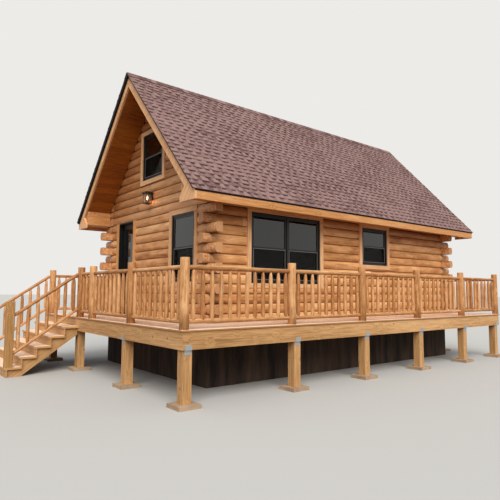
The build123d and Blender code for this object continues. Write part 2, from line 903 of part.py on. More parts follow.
# Rail posts on the deck, round and peeled, with flat tops
post_places = [(x, y) for y in line_y for x in front_posts]
post_places += [(line_x[0], y) for y in left_posts]
post_places += [(line_x[1], y) for y in right_posts]


def round_posts(places, levels, mode=Mode.ADD):
    """Rail posts at several places between two levels."""
    with BuildSketch(Plane.XY.offset(levels[0])) as section:
        with Locations(*places):
            RegularPolygon(rail_post / 2, rail_post_sides)
    extrude(section.sketch, amount=levels[1] - levels[0], mode=mode)


post_levels = (deck_top, deck_top + rail_post_height)
with BuildPart() as rail_posts:
    round_posts(post_places, post_levels)
save(rail_posts, "rail_posts")

top_rail_z = deck_top + top_rail_level - top_rail / 2
bottom_rail_z = deck_top + bottom_rail_level - bottom_rail / 2


def rail_section(size):
    """The end of a rail in the sketch that is open, with a flat side down."""
    RegularPolygon(size / 2, rail_sides, major_radius=False, rotation=180 / rail_sides)


def bay_spindles(length):
    """Middles of the spindles along one bay, with half a space at both ends."""
    count = round(length / spindle_spacing)
    return [length * (index + 0.5) / count for index in range(count)]


def railing(name, posts, line, along_x):
    """Rails through a row of posts, with spindles in each bay, cut clear of the posts."""
    if along_x:
        ends = Plane((posts[0], line, 0), x_dir=(0, 1, 0), z_dir=(1, 0, 0))
    else:
        ends = Plane((line, posts[0], 0), x_dir=(-1, 0, 0), z_dir=(0, 1, 0))
    runs = []
    for low, high in zip(posts[:-1], posts[1:]):
        start = low + rail_post / 2
        runs += [start + step for step in bay_spindles(high - low - rail_post)]
    spindle_places = [(run, line) if along_x else (line, run) for run in runs]
    post_cuts = [(post, line) if along_x else (line, post) for post in posts]
    with BuildPart() as panels:
        with BuildSketch(ends) as rails:
            with Locations((0, top_rail_z)):
                rail_section(top_rail)
            with Locations((0, bottom_rail_z)):
                rail_section(bottom_rail)
        extrude(rails.sketch, amount=posts[-1] - posts[0])
        with BuildSketch(Plane.XY.offset(bottom_rail_z)) as bars:
            with Locations(*spindle_places):
                RegularPolygon(spindle / 2, spindle_sides)
        extrude(bars.sketch, amount=top_rail_z - bottom_rail_z)
        round_posts(post_cuts, post_levels, Mode.SUBTRACT)
    save(panels, name)


railing("front_railing", front_posts, line_y[0], True)
railing("back_railing", front_posts, line_y[1], True)
railing("left_railing", [line_y[0], *left_posts], line_x[0], False)
railing("right_railing", [line_y[0], *right_posts, line_y[1]], line_x[1], False)


# The stair: notched stringers, treads and closed risers
rim_face = deck_x0 + deck_lip
tread_count = riser_count - 1
tread_y = (stair_y[0] - rail_post / 2, stair_y[1] + rail_post / 2)
stair_slope = riser_height / tread_run


def tread_bottom(step):
    """Level of the underside of a tread, counted down from the deck."""
    return deck_top - step * riser_height - tread_board


with BuildPart() as stair_stringers:
    for y in stair_y:
        with BuildSketch(Plane.XZ.offset(-(y + stringer_board / 2))):
            with BuildLine():
                outline = [(rim_face, tread_bottom(1))]
                for step in range(1, tread_count + 1):
                    outline.append((rim_face - step * tread_run, tread_bottom(step)))
                    if step < tread_count:
                        outline.append((rim_face - step * tread_run, tread_bottom(step + 1)))
                under_top = tread_bottom(1) - stringer_drop
                outline.append((rim_face - tread_count * tread_run, 0))
                outline.append((rim_face - under_top / stair_slope, 0))
                outline.append((rim_face, under_top))
                Polyline(*outline, close=True)
            make_face()
        extrude(amount=stringer_board)
save(stair_stringers, "stair_stringers")

with BuildPart() as stair_treads:
    for step in range(1, tread_count + 1):
        front = rim_face - step * tread_run - riser_board - tread_nosing
        back = rim_face - (step - 1) * tread_run - (riser_board if step > 1 else 0)
        low = tread_bottom(step)
        block((front, back), tread_y, (low, low + tread_board))
save(stair_treads, "stair_treads")

with BuildPart() as stair_risers:
    for step in range(1, tread_count + 1):
        back = rim_face - step * tread_run
        low = tread_bottom(step + 1) if step < tread_count else 0
        block((back - riser_board, back), tread_y, (low, tread_bottom(step)))
save(stair_risers, "stair_risers")

# Square newels on the lowest tread, and the sloping rails up to the deck's round posts
newel_x = rim_face - tread_count * tread_run - riser_board - tread_nosing + newel / 2
newel_foot = tread_bottom(tread_count) + tread_board
with BuildPart() as stair_newels:
    with BuildSketch(Plane.XY.offset(newel_foot)):
        with Locations((newel_x, stair_y[0]), (newel_x, stair_y[1])):
            Rectangle(newel, newel)
        chamfer(vertices(), newel_chamfer)
    extrude(amount=newel_height)
save(stair_newels, "stair_newels")


def slope_level(x, rise):
    """Height of a line that runs parallel to the stair over its nosings."""
    return deck_top + rise - stair_slope * (deck_x0 - x)


def slope_band(low, high):
    """The space between two lines parallel to the stair, as points seen from its side."""
    ends = (newel_x, line_x[0])
    return [(x, slope_level(x, low)) for x in ends] + [(x, slope_level(x, high)) for x in reversed(ends)]


slope_length = math.hypot(tread_run, riser_height)
up_slope = (tread_run / slope_length, 0, riser_height / slope_length)
stair_bay = (newel_x + newel / 2, line_x[0] - rail_post / 2)
with BuildPart() as stair_railings:
    places = [stair_bay[0] + step for step in bay_spindles(stair_bay[1] - stair_bay[0])]
    with BuildSketch(Plane.XY) as bars:
        with Locations(*((x, y) for x in places for y in stair_y)):
            RegularPolygon(spindle / 2, spindle_sides)
    extrude(bars.sketch, amount=ridge_level)
    with BuildSketch(Plane.XZ.offset(-stair_y[1] - spindle)) as between:
        with BuildLine() as outline:
            Polyline(*slope_band(stair_low_rail_rise, stair_rail_rise), close=True)
        make_face(outline.edges())
    extrude(between.sketch, amount=stair_y[1] - stair_y[0] + 2 * spindle, mode=Mode.INTERSECT)
    for y in stair_y:
        for rise in (stair_rail_rise, stair_low_rail_rise):
            start = (newel_x, y, slope_level(newel_x, rise))
            with BuildSketch(Plane(start, x_dir=(0, 1, 0), z_dir=up_slope)) as rail_end:
                rail_section(stair_rail)
            extrude(rail_end.sketch, amount=(line_x[0] - newel_x) * slope_length / tread_run)
    rail_z = (deck_top - rail_post_height, deck_top + 2 * rail_post_height)
    for y in stair_y:
        block((newel_x - newel, stair_bay[0]), grown((y, y), newel), rail_z, Mode.SUBTRACT)
    round_posts([(line_x[0], y) for y in stair_y], rail_z, Mode.SUBTRACT)
    past_posts = (line_x[0], line_x[0] + rail_post)
    for y in stair_y:
        block(past_posts, grown((y, y), rail_post), rail_z, Mode.SUBTRACT)
save(stair_railings, "stair_railings")
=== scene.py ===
# %% [markdown]
# # The looks of a log cabin on a raised deck
#
# The cabin's real shape comes from a CAD model: log walls, roof slabs, posts, stair and
# windows. This script loads that model as a fixed frame and dresses it. It gives every
# part a finish, and adds what is too small or too repetitive for CAD: shingles, soffit
# boards, deck boards, peeled rails and the lantern. Lengths are in metres, +X runs along
# the long front wall, +Y from the front to the back, and +Z is up.

# %% Load the frame
import math
import random

import bmesh
import bpy
from mathutils import Matrix, Vector, noise


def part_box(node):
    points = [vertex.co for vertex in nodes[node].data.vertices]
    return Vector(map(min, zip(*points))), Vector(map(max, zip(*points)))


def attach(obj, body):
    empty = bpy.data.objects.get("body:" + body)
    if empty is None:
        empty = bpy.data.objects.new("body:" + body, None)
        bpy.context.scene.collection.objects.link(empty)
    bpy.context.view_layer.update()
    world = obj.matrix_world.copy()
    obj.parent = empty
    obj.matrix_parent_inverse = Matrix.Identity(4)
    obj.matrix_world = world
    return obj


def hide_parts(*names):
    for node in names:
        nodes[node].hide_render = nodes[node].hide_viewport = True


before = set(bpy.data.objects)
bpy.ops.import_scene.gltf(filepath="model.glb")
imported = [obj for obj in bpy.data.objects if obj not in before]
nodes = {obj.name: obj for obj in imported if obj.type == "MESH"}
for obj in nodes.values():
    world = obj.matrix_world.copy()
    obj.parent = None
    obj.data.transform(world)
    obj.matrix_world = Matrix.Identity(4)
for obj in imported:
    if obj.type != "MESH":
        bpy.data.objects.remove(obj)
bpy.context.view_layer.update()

# %% [markdown]
# ## Places taken from the frame
#
# Nothing is fitted by eye. The outer faces of the walls, the ridge, the eaves and the deck
# are read from the boxes of the CAD parts, so a new pack of the model moves the looks too.
# The roof's pitch follows from two heights and the distance between them.

# %% Measure the house
house_x = (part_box("entry_gable")[0].x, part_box("far_gable")[1].x)
house_y = (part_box("front_wall")[0].y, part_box("back_wall")[1].y)
ridge_y = sum(house_y) / 2
ridge_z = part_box("roof_front")[1].z
eave_y = (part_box("eave_fascias")[0].y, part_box("eave_fascias")[1].y)
eave_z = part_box("eave_fascias")[1].z
roof_x = (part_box("left_rake_boards")[0].x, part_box("right_rake_boards")[1].x)
deck_low, deck_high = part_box("deck_boards")
deck_top = deck_high.z

fascia_thick = 0.038
roof_run = ridge_y - eave_y[0] - fascia_thick
roof_pitch = math.atan((ridge_z - eave_z) / roof_run)
log_course = 0.178
wall_base = deck_low.z
print("pitch", round(math.degrees(roof_pitch), 2), "deck top", round(deck_top, 3))

# %% [markdown]
# ## The camera
#
# The viewpoint was worked out from the straight edges of the house: eye height 1.65 m above
# the ground, a moderate wide angle, turned 38.6 degrees from the gable's outward line and
# tipped up a little. Turning about Z, then X, then Z again gives heading, tilt and roll.

# %% Place the camera
eye = Vector((-7.7475, -9.130, 1.651))
heading, tilt, roll = (math.radians(angle) for angle in (38.629, 4.887, 0.329))
lens, sensor_width = 35.1, 36.0


def stand(name, data):
    """Puts an object with some data in the scene."""
    made = bpy.data.objects.new(name, data)
    bpy.context.scene.collection.objects.link(made)
    return made


camera = stand("camera", bpy.data.cameras.new("camera"))
camera.data.sensor_width = sensor_width
camera.data.lens = lens
camera.matrix_world = (
    Matrix.Translation(eye)
    @ Matrix.Rotation(-heading, 4, "Z")
    @ Matrix.Rotation(math.pi / 2 + tilt, 4, "X")
    @ Matrix.Rotation(roll, 4, "Z")
)
bpy.context.scene.camera = camera
print("camera", [round(value, 3) for value in camera.location])

# %% [markdown]
# ## Colour and nodes
#
# Colours are written as web hex values, as a paint chart gives them, and turned into the
# linear values that light is worked out in. One small function adds every shader node. Its
# inputs may be plain values, hex colours or other nodes, which are then linked, so a
# material reads from top to bottom like a recipe. Another function lays colours over each
# other, as coats of stain are, each as strongly as a pattern says.


# %% Helpers for materials
def linear(code):
    """An sRGB hex colour as linear red, green, blue and alpha."""
    parts = [int(code[i : i + 2], 16) / 255 for i in (1, 3, 5)]
    curve = [p / 12.92 if p <= 0.04045 else ((p + 0.055) / 1.055) ** 2.4 for p in parts]
    return (*curve, 1.0)


def feed(tree, node, inputs):
    """Gives inputs a value or a hex colour, or a link from a socket or a node's first output."""
    for name, value in inputs.items() if isinstance(inputs, dict) else enumerate(inputs):
        if isinstance(value, bpy.types.Node):
            value = value.outputs[0]
        if isinstance(value, bpy.types.NodeSocket):
            tree.links.new(value, node.inputs[name])
        else:
            node.inputs[name].default_value = linear(value) if isinstance(value, str) else value


def add(tree, kind, inputs=(), stops=(), **settings):
    """Adds a node, such as "Math ADD", with inputs by name or in order, and a ramp's stops."""
    kind, *operation = kind.split()
    made = tree.nodes.new("ShaderNode" + kind)
    if operation:
        made.operation = operation[0]
    for name, value in settings.items():
        setattr(made, name, value)
    feed(tree, made, inputs)
    for index, (place, code) in enumerate(stops):
        elements = made.color_ramp.elements
        element = elements[index] if index < 2 else elements.new(place)
        element.position = place
        element.color = linear(code)
    return made


MIX_A, MIX_B, MIX_OUT = 6, 7, 2


def coats(tree, body, layers):
    """Lays colours over a body colour, one after the other, each with its own amount."""
    for amount, colour in layers:
        mixed = add(tree, "Mix", {0: amount, MIX_A: body, MIX_B: colour}, data_type="RGBA")
        body = mixed.outputs[MIX_OUT]
    return body


def new_material(name, **settings):
    """A material with its shader's plain settings, and the tree to add nodes to."""
    material = bpy.data.materials.new(name)
    material.use_nodes = True
    tree = material.node_tree
    shader = tree.nodes["Principled BSDF"]
    feed(tree, shader, {label.replace("_", " "): value for label, value in settings.items()})
    return material, tree, shader


def surface(tree, shader, colour, relief, strength, depth):
    """Joins a colour and a bump of a depth in metres to the shader."""
    bump = add(tree, "Bump", {"Height": relief, "Strength": strength, "Distance": depth})
    feed(tree, shader, {"Base Color": colour, "Normal": bump})


def dress(material, *names):
    """Gives CAD parts a material."""
    for name in names:
        mesh = nodes[name].data
        mesh.materials.clear()
        mesh.materials.append(material)


# %% [markdown]
# ## Wood grain
#
# Nearly everything here is pine, so one pattern serves it all: long streaks of fibre, and
# knots. It works on coordinates in metres whose first axis runs along the fibres. The knots
# come from a Voronoi texture: dividing the distance to each cell's point by the stretch
# makes them round again, while the fibres beside a knot are pushed aside as in a real board.


# %% Grain and knots
def stretched(tree, where, scales, detail, roughness=0.5):
    """Noise with its own scale along each axis."""
    drawn = add(tree, "VectorMath MULTIPLY", [where, scales])
    return add(tree, "TexNoise", {"Vector": drawn, "Scale": 1.0, "Detail": detail,
                                  "Roughness": roughness})


def figure(tree, where, streak=(2.2, 46.0, 46.0)):
    """Streaks and knots of wood on coordinates whose X runs along the fibres."""
    # A knot to each 670 mm of a strip 140 mm wide, 44 mm across with a core of 18 mm
    spread = (1.5, 7.0, 7.0)
    knot_radius, knot_core = 0.022, 0.009
    cells = add(tree, "VectorMath MULTIPLY", [where, spread])
    points = add(tree, "TexVoronoi", {"Vector": cells, "Scale": 1.0}).outputs["Position"]
    away = add(tree, "VectorMath SUBTRACT", [cells, points])
    away = add(tree, "VectorMath DIVIDE", [away, spread])
    away = add(tree, "VectorMath LENGTH", [away]).outputs["Value"]
    knots = add(tree, "MapRange", {"Value": away, "From Min": knot_radius, "From Max": knot_core})
    aside = add(tree, "MapRange", {"Value": away, "From Min": 5 * knot_radius, "From Max": 0.0,
                                   "To Max": 0.035})
    bent = add(tree, "CombineXYZ", {"Y": aside, "Z": aside})
    bent = add(tree, "VectorMath ADD", [where, bent])
    # Streaks 22 mm apart and 450 mm long: single fibres are too fine to show
    return stretched(tree, bent, streak, 5.0, 0.6), knots


# %% [markdown]
# ## A wood for each kind of timber
#
# A material takes a dark, a middle and a light colour. Streaks move the colour between
# them, and each board or pole leans a little to one side, because no two pieces of wood
# match. Parts made here carry their own grain coordinates and shade as attributes on the
# mesh. CAD parts have none, so their grain runs along a direction worked out from their
# shape: straight, up the two slopes, or along X or Y as each face needs.


# %% Timber
def timber(name, colours, fibres=None, lean=0.35, mottle=0.0, tops=None, sides=None):
    """Sawn or peeled wood. Fibres is None for parts with their own grain coordinates."""
    material, tree, shader = new_material(name, Roughness=0.6, Specular_IOR_Level=0.3)
    normal = add(tree, "NewGeometry").outputs["Normal"]
    if fibres is None:
        where = add(tree, "Attribute", attribute_name="grain").outputs["Vector"]
        shade = add(tree, "Attribute", attribute_name="tone").outputs["Fac"]
    else:
        where = add(tree, "TexCoord").outputs["Object"]
        if fibres == "slopes":
            half = add(tree, "VectorMath ADD", [where, (0, -ridge_y, 0)])
            half = add(tree, "SeparateXYZ", [half]).outputs
            side = add(tree, "Math ABSOLUTE", [half["Y"]])
            where = add(tree, "CombineXYZ", {"X": side, "Y": half["X"], "Z": half["Z"]})
            fibres = (0, roof_pitch, 0)
        elif fibres == "level":
            facing = add(tree, "SeparateXYZ", [normal]).outputs["X"]
            across = add(tree, "Math ABSOLUTE", [facing])
            across = add(tree, "Math GREATER_THAN", [across, 0.5])
            angle = add(tree, "Math MULTIPLY", [across, -math.pi / 2])
            fibres = add(tree, "CombineXYZ", {"Z": angle})
        where = add(tree, "Mapping", {"Vector": where, "Rotation": fibres})
        # Patches of 2.9 m by 320 mm stand for the shades of single boards
        shade = stretched(tree, where, (0.35, 3.1, 3.1), 1.0)
    streaks, knots = figure(tree, where)
    leaning = add(tree, "Math MULTIPLY_ADD", [shade, lean, -lean / 2])
    tilt = add(tree, "Math ADD", [streaks, leaning])
    if mottle:
        # Where the bark was scraped off, blots of about 140 by 60 mm stay
        blots = stretched(tree, where, (7.0, 16.0, 16.0), 2.0)
        blots = add(tree, "Math MULTIPLY_ADD", [blots, mottle, -mottle / 2])
        tilt = add(tree, "Math ADD", [tilt, blots])
    dark, middle, light = colours
    body = add(tree, "ValToRGB", {"Fac": tilt}, stops=[(0.22, dark), (0.78, light), (0.5, middle)])
    layers = [(add(tree, "Math MULTIPLY", [knots, 0.75]), "#5A3317")]
    upright = add(tree, "SeparateXYZ", [normal]).outputs["Z"]
    # Tops and sides may take their own colours; the deck's darker sides are partly painted shade
    for paint, limit, test in ((tops, 0.9, "GREATER_THAN"), (sides, 0.5, "LESS_THAN")):
        if paint:
            layers.append((add(tree, "Math " + test, [upright, limit]), paint))
    surface(tree, shader, coats(tree, body, layers), streaks, strength=0.35, depth=0.002)
    return material


stair_rise, stair_run = 0.184, 0.265
stair_pitch = math.atan(stair_rise / stair_run)
plumb, across_stair = (0, math.pi / 2, 0), (0, 0, -math.pi / 2)
# The stained pine of the trim: honey brown and even, so that it frames the logs
trim_colours = ("#A06832", "#C58B55", "#DEAA75")
# Pressure-treated pine: a little green under the yellow, with more figure than the trim
treated_colours = ("#90693F", "#BD905E", "#D8AC7A")
# Deck boards, new and clear: the palest and pinkest wood, which reads as one light band
deck_colours = ("#DCB08E", "#F6D3B4", "#FDE7D2")
# Peeled poles with a clear stain: warm, with pale sapwood between darker streaks
pole_colours = ("#915B2E", "#B98350", "#DCAB79")
trim_slope = timber("trim_up_the_slopes", ("#B07C48", "#DCA878", "#F0C699"), "slopes")
trim_level = timber("trim_along_the_eaves", trim_colours, "level")
trim_upright = timber("trim_upright", trim_colours, plumb)
trim_board = timber("trim_boards", ("#945E2E", "#BC834E", "#D8A370"), lean=0.15)
# The boards round the windows are newer and paler, and outline them
casing_board = timber("window_casings", ("#B07C4F", "#D4A476", "#EAC49B"), lean=0.15)
# The boards under the gables are drawn darker than the other trim: painted shade of the roof
shaded_gable_soffit = timber("gable_soffit", ("#652F06", "#8C4A0B", "#A46417"), lean=0.2)
treated_level = timber("treated_rims", treated_colours, "level", lean=0.6)
treated_upright = timber("treated_posts", treated_colours, plumb)
treated_newel = timber("treated_newels", ("#7E5C30", "#A97E4B", "#C59862"), plumb)
treated_across = timber("treated_risers", treated_colours, across_stair)
treated_rake = timber("treated_stringers", treated_colours, (0, stair_pitch, 0))
tread_wood = timber("stair_treads", deck_colours, across_stair, sides="#C2945F")
# The boards' sides: partly edge grain, partly painted shade of the gaps and the deck's edge
deck_wood = timber("deck_boards", deck_colours, lean=0.4, sides="#A87A4C")
peeled = timber("peeled_poles", pole_colours, lean=0.3, mottle=0.5, tops="#E2C29A")
floor_wood = timber("floor_boards", ("#8F6A42", "#B48B5A", "#CBA674"), (0, 0, 0))
print("woods", len(bpy.data.materials))

# %% [markdown]
# ## The stained logs
#
# The walls are milled logs, rounded outside, laid in courses of 178 mm. The CAD gives their
# shape, and the material gives what tells one log from the next. The height picks the
# course, a random number for each course sets where its logs are jointed, and each log gets
# its own tone and its own stretch of grain. The grooves between courses are drawn darker
# with painted shade. The end walls get painted shade from about 1.5 m above their foot,
# deepest high up and towards the back, and the long walls a band of painted eave shadow
# close under the eaves. Near the corners the logs were trimmed by hand, which leaves them
# mottled. Faces that look along the wall are sawn ends, with growth rings.

# %% Log material
log_length = 3.3
joint_gap = 0.004
header_course = 12.0


def stained_logs(name, along, reach, hearts):
    """Logs along X or Y, from corner to corner; hearts are the middles of the two walls."""
    material, tree, shader = new_material(name, Roughness=0.5, Specular_IOR_Level=0.35)
    at = add(tree, "SeparateXYZ", [add(tree, "TexCoord").outputs["Object"]]).outputs
    run, depth, height = at[along], at["Y" if along == "X" else "X"], at["Z"]
    level = add(tree, "Math SUBTRACT", [height, wall_base])
    level = add(tree, "Math DIVIDE", [level, log_course])
    course = add(tree, "Math FLOOR", [level])
    within = add(tree, "Math FRACT", [level])
    shift = add(tree, "TexWhiteNoise", {"W": course}, noise_dimensions="1D")
    log = add(tree, "Math MULTIPLY_ADD", [run, 1 / log_length, shift])
    key = add(tree, "CombineXYZ", {"X": course, "Y": add(tree, "Math FLOOR", [log])})
    shade = add(tree, "TexWhiteNoise", {"Vector": key}, noise_dimensions="2D")
    own = add(tree, "Math MULTIPLY_ADD", [shade, 40.0, run])
    where = add(tree, "CombineXYZ", {"X": own, "Y": depth, "Z": height})

    # Streaks of 620 by 33 mm, mottling of 380 by 110 mm and the log's own shade together
    # choose a colour of the stain
    streaks, knots = figure(tree, where, (1.6, 30.0, 30.0))
    mottle = stretched(tree, where, (2.6, 9.0, 9.0), 2.0)
    tilt = -0.18
    for part, weight in ((streaks, 0.62), (mottle, 0.62), (shade, 0.26)):
        tilt = add(tree, "Math MULTIPLY_ADD", [part, weight, tilt])
    body = add(tree, "ValToRGB", {"Fac": tilt},
               stops=[(0.30, "#955D2F"), (0.80, "#E9B680"), (0.55, "#CA9059")])

    # The course over the windows is paler; painted shade darkens the logs under the eaves and gables
    header = add(tree, "Math COMPARE", [course, header_course, 0.5])
    header = add(tree, "Math MULTIPLY", [header, 0.35])
    if along == "X":
        # Painted shadow of the eaves on the top courses
        painted_shade = add(tree, "MapRange", {"Value": height, "From Min": eave_z - 0.42,
                                      "From Max": eave_z - 0.22, "To Max": 0.6})
    else:
        # Painted shade of the gable overhang, deepest high up and towards the back
        shade_towards_back = add(tree, "Math MULTIPLY_ADD", [at["Y"], 1.7, height])
        shade_towards_back = add(tree, "MapRange", {"Value": shade_towards_back, "From Min": 0.6, "From Max": 8.6,
                                        "To Max": 0.8})
        painted_shade = add(tree, "MapRange", {"Value": height, "From Min": wall_base + 1.5,
                                      "From Max": wall_base + 2.3})
        painted_shade = add(tree, "Math MULTIPLY", [painted_shade, shade_towards_back])

    # Distances from the middle of the wall, of the course and of the house
    offsets = []
    for value, middle in ((run, sum(reach) / 2), (within, 0.5), (depth, sum(hearts) / 2)):
        offset = add(tree, "Math SUBTRACT", [value, middle])
        offsets.append(add(tree, "Math ABSOLUTE", [offset]))
    half = (reach[1] - reach[0]) / 2
    hewn = add(tree, "MapRange", {"Value": offsets[0], "From Min": half - 0.20,
                                  "From Max": half - 0.08, "To Max": 0.65})
    # The tool left chips about 50 mm wide
    chips = add(tree, "TexNoise", {"Vector": where, "Scale": 19.0, "Detail": 2.0})
    chips = add(tree, "ValToRGB", {"Fac": chips}, stops=[(0.34, "#A96C3E"), (0.64, "#E2AC7C")])
    dark_knots = add(tree, "Math MULTIPLY", [knots, 0.7])
    # Painted shade in the grooves between courses, and the dark gaps of the butt joints
    groove_shade = add(tree, "MapRange", {"Value": offsets[1], "From Min": 0.41, "From Max": 0.49,
                                  "To Max": 0.85})
    butts = add(tree, "Math FRACT", [log])
    butts = add(tree, "Math LESS_THAN", [butts, joint_gap / log_length])
    lines = add(tree, "Math MAXIMUM", [groove_shade, butts])

    # Growth rings round the heart of each log, on the faces that look along it. They are
    # 14 mm apart, three times as far as in real pine, or they wouldn't show
    sideways = add(tree, "Math SUBTRACT", [offsets[2], (hearts[1] - hearts[0]) / 2])
    upwards = add(tree, "Math MULTIPLY_ADD", [within, log_course, -log_course / 2])
    heart = add(tree, "CombineXYZ", {"X": sideways, "Y": upwards, "Z": shade})
    rings = add(tree, "TexWave", {"Vector": heart, "Scale": 22.0, "Distortion": 2.5, "Detail": 2.0,
                                  "Detail Scale": 4.0}, wave_type="RINGS", rings_direction="Z")
    sawn = add(tree, "ValToRGB", {"Fac": rings.outputs["Fac"]},
               stops=[(0.0, "#A26C3F"), (1.0, "#D3A172")])
    facing = add(tree, "SeparateXYZ", [add(tree, "NewGeometry").outputs["Normal"]]).outputs
    facing = add(tree, "Math ABSOLUTE", [facing[along]])
    facing = add(tree, "Math GREATER_THAN", [facing, 0.8])
    body = coats(tree, body, ((header, "#E6B486"), (painted_shade, "#783C12"), (hewn, chips),
                              (dark_knots, "#54290F"), (lines, "#532A10"), (facing, sawn)))
    surface(tree, shader, body, streaks, strength=0.4, depth=0.004)
    return material


half_log = 0.075
logs_along_x = stained_logs("logs_along_the_long_walls", "X", house_x,
                            (house_y[0] + half_log, house_y[1] - half_log))
logs_along_y = stained_logs("logs_across_the_gables", "Y", house_y,
                            (house_x[0] + half_log, house_x[1] - half_log))
print("courses up to the header", int(header_course))

# %% [markdown]
# ## Metal, glass and masonry
#
# The rest is plain. Black frames need a little gloss, or they turn into holes. The glass is
# dark and shiny with some see-through, as windows look from outside by day, when the rooms
# are much darker than the sky. Concrete gets blotches and fine pits, and the block walls
# under the house are drawn nearly black, with streaks of clay.

# %% Plain materials
# Powder-coated metal: black, with a soft shine along its edges
black = new_material("satin_black", Base_Color="#0A0B0C", Roughness=0.4, Specular_IOR_Level=0.4)[0]
# Float glass over dark rooms: it mirrors the surroundings sharply
glass = new_material("window_glass", Base_Color="#070809", Roughness=0.03,
                     Specular_IOR_Level=0.85, Alpha=0.9)[0]
# Thin panes with a little soot, which leave the bulb in view
clear = new_material("lantern_glass", Base_Color="#5C554E", Roughness=0.05, Alpha=0.16)[0]
# Mill-finish aluminium, a dull grey line, and a coated mesh that only darkens the pane. Its
# holes of 1.5 mm are too fine to draw, so it is part transparent
screen_frame = new_material("screen_frame", Base_Color="#6E6C69", Metallic=0.3, Roughness=0.5)[0]
screen_mesh = new_material("screen_mesh", Base_Color="#0B0B0A", Roughness=0.9,
                           Specular_IOR_Level=0.1, Alpha=0.38)[0]
# Hot-dip zinc: light grey, with a dull metal shine
zinc = new_material("galvanised_steel", Base_Color="#A9AEB0", Metallic=0.6, Roughness=0.42)[0]
# Bronze-anodised aluminium of the threshold, worn by feet
sill_metal = new_material("dark_sill", Base_Color="#5B5A57", Metallic=0.8, Roughness=0.4)[0]
# Moulded PVC: even, with a soft shine
grey_box = new_material("grey_box", Base_Color="#9A9EA2", Roughness=0.5)[0]
# A warm filament bulb, bright but not white
glow = new_material("lit_bulb", Base_Color="#FFE9C4", Emission_Color="#FFDDB8",
                    Emission_Strength=2.5)[0]
# Painted steel strip, kept dull so that it draws a plain dark line
drip = new_material("dull_black_strip", Base_Color="#0B0B0C", Roughness=0.7,
                    Specular_IOR_Level=0.2)[0]

# Cast concrete with earth on it: blotches of 330 mm, and pits drawn 6 mm wide to show
concrete, tree, shader = new_material("concrete", Roughness=0.9, Specular_IOR_Level=0.2)
where = add(tree, "TexCoord").outputs["Object"]
blotches = add(tree, "TexNoise", {"Vector": where, "Scale": 3.0, "Detail": 6.0, "Roughness": 0.65})
pits = add(tree, "TexNoise", {"Vector": where, "Scale": 160.0, "Detail": 2.0})
cast = add(tree, "ValToRGB", {"Fac": blotches}, stops=[(0.3, "#987E66"), (0.72, "#C4A98C")])
surface(tree, shader, cast, pits, strength=0.3, depth=0.002)

# Nearly black block walls, with runs of clay about 200 mm wide and 1.4 m high
dark_block, tree, shader = new_material("dark_block_walls", Roughness=0.8, Specular_IOR_Level=0.25)
where = add(tree, "TexCoord").outputs["Object"]
clay = stretched(tree, where, (5.0, 5.0, 0.7), 5.0, 0.6)
coat = add(tree, "ValToRGB", {"Fac": clay}, stops=[(0.35, "#1F1813"), (0.75, "#5A4638")])
feed(tree, shader, {"Base Color": coat})

# %% Dress the CAD parts
dress(logs_along_x, "front_wall", "back_wall")
dress(logs_along_y, "entry_wall_near", "entry_wall_far", "entry_gable", "far_wall", "far_gable")
dress(black, "window_frames", "door_jambs", "door_head", "door_leaf", "door_handle",
      "jamb_hinges", "leaf_hinges", "lantern")
dress(glass, "window_glass", "door_glass")
dress(sill_metal, "door_threshold")
dress(zinc, "post_caps")
dress(concrete, "footing_pads")
dress(dark_block, "foundation_long_walls", "foundation_end_walls")
dress(trim_slope, "left_rake_boards", "right_rake_boards")
dress(trim_level, "eave_fascias", "eave_returns")
dress(trim_upright, "door_casings")
dress(treated_level, "deck_frames")
dress(treated_upright, "deck_columns")
dress(treated_newel, "stair_newels")
dress(tread_wood, "stair_treads")
dress(treated_across, "stair_risers")
dress(treated_rake, "stair_stringers")
dress(floor_wood, "cabin_floor", "loft_floor", "floor_frame", "loft_beams")
print("materials", len(bpy.data.materials))

# %% [markdown]
# ## Making pieces
#
# New pieces are built with bmesh. Every corner carries two attributes: "grain", its own
# coordinates in metres with X along the fibres, and "tone", the shade of the board or pole
# that it belongs to. A board is a cube, stretched, turned and put in place. Once a piece is
# complete, it becomes an object at the origin that rides on a body of the cabin.


# %% Helpers for pieces
def new_form():
    """An empty form whose corners carry grain coordinates and a shade."""
    form = bmesh.new()
    form.verts.layers.float_vector.new("grain")
    form.verts.layers.float.new("tone")
    return form


def mark(form, verts, spot, long=0, tone=None):
    """Writes the grain coordinates and the shade of one board or pole."""
    grain = form.verts.layers.float_vector["grain"]
    shade = form.verts.layers.float["tone"]
    back = spot.inverted()
    shift = Vector((random.uniform(0, 60), random.uniform(0, 9), random.uniform(0, 9)))
    tone = random.random() if tone is None else tone
    for vert in verts:
        local = back @ vert.co
        vert[grain] = Vector((local[long], local[long - 2], local[long - 1])) + shift
        vert[shade] = tone


def plank(form, spot, size, edge=0.0, tone=None):
    """A board of a size along X, Y and Z, turned and moved as the matrix of its spot says."""
    made = bmesh.ops.create_cube(form, size=1, matrix=spot @ Matrix.Diagonal((*size, 1)))
    verts = made["verts"]
    if edge:
        edges = list({line for vert in verts for line in vert.link_edges})
        eased = bmesh.ops.bevel(form, geom=edges, affect="EDGES", offset=edge, segments=1,
                                profile=0.5, material=-1)
        verts = list({vert for face in eased["faces"] for vert in face.verts})
    mark(form, verts, spot, max(range(3), key=lambda axis: size[axis]), tone)
    return verts


def between(form, low, high, edge=0.0, tone=None):
    """A board that fills the box between two corners."""
    low, high = Vector(low), Vector(high)
    return plank(form, Matrix.Translation((low + high) / 2), high - low, edge, tone)


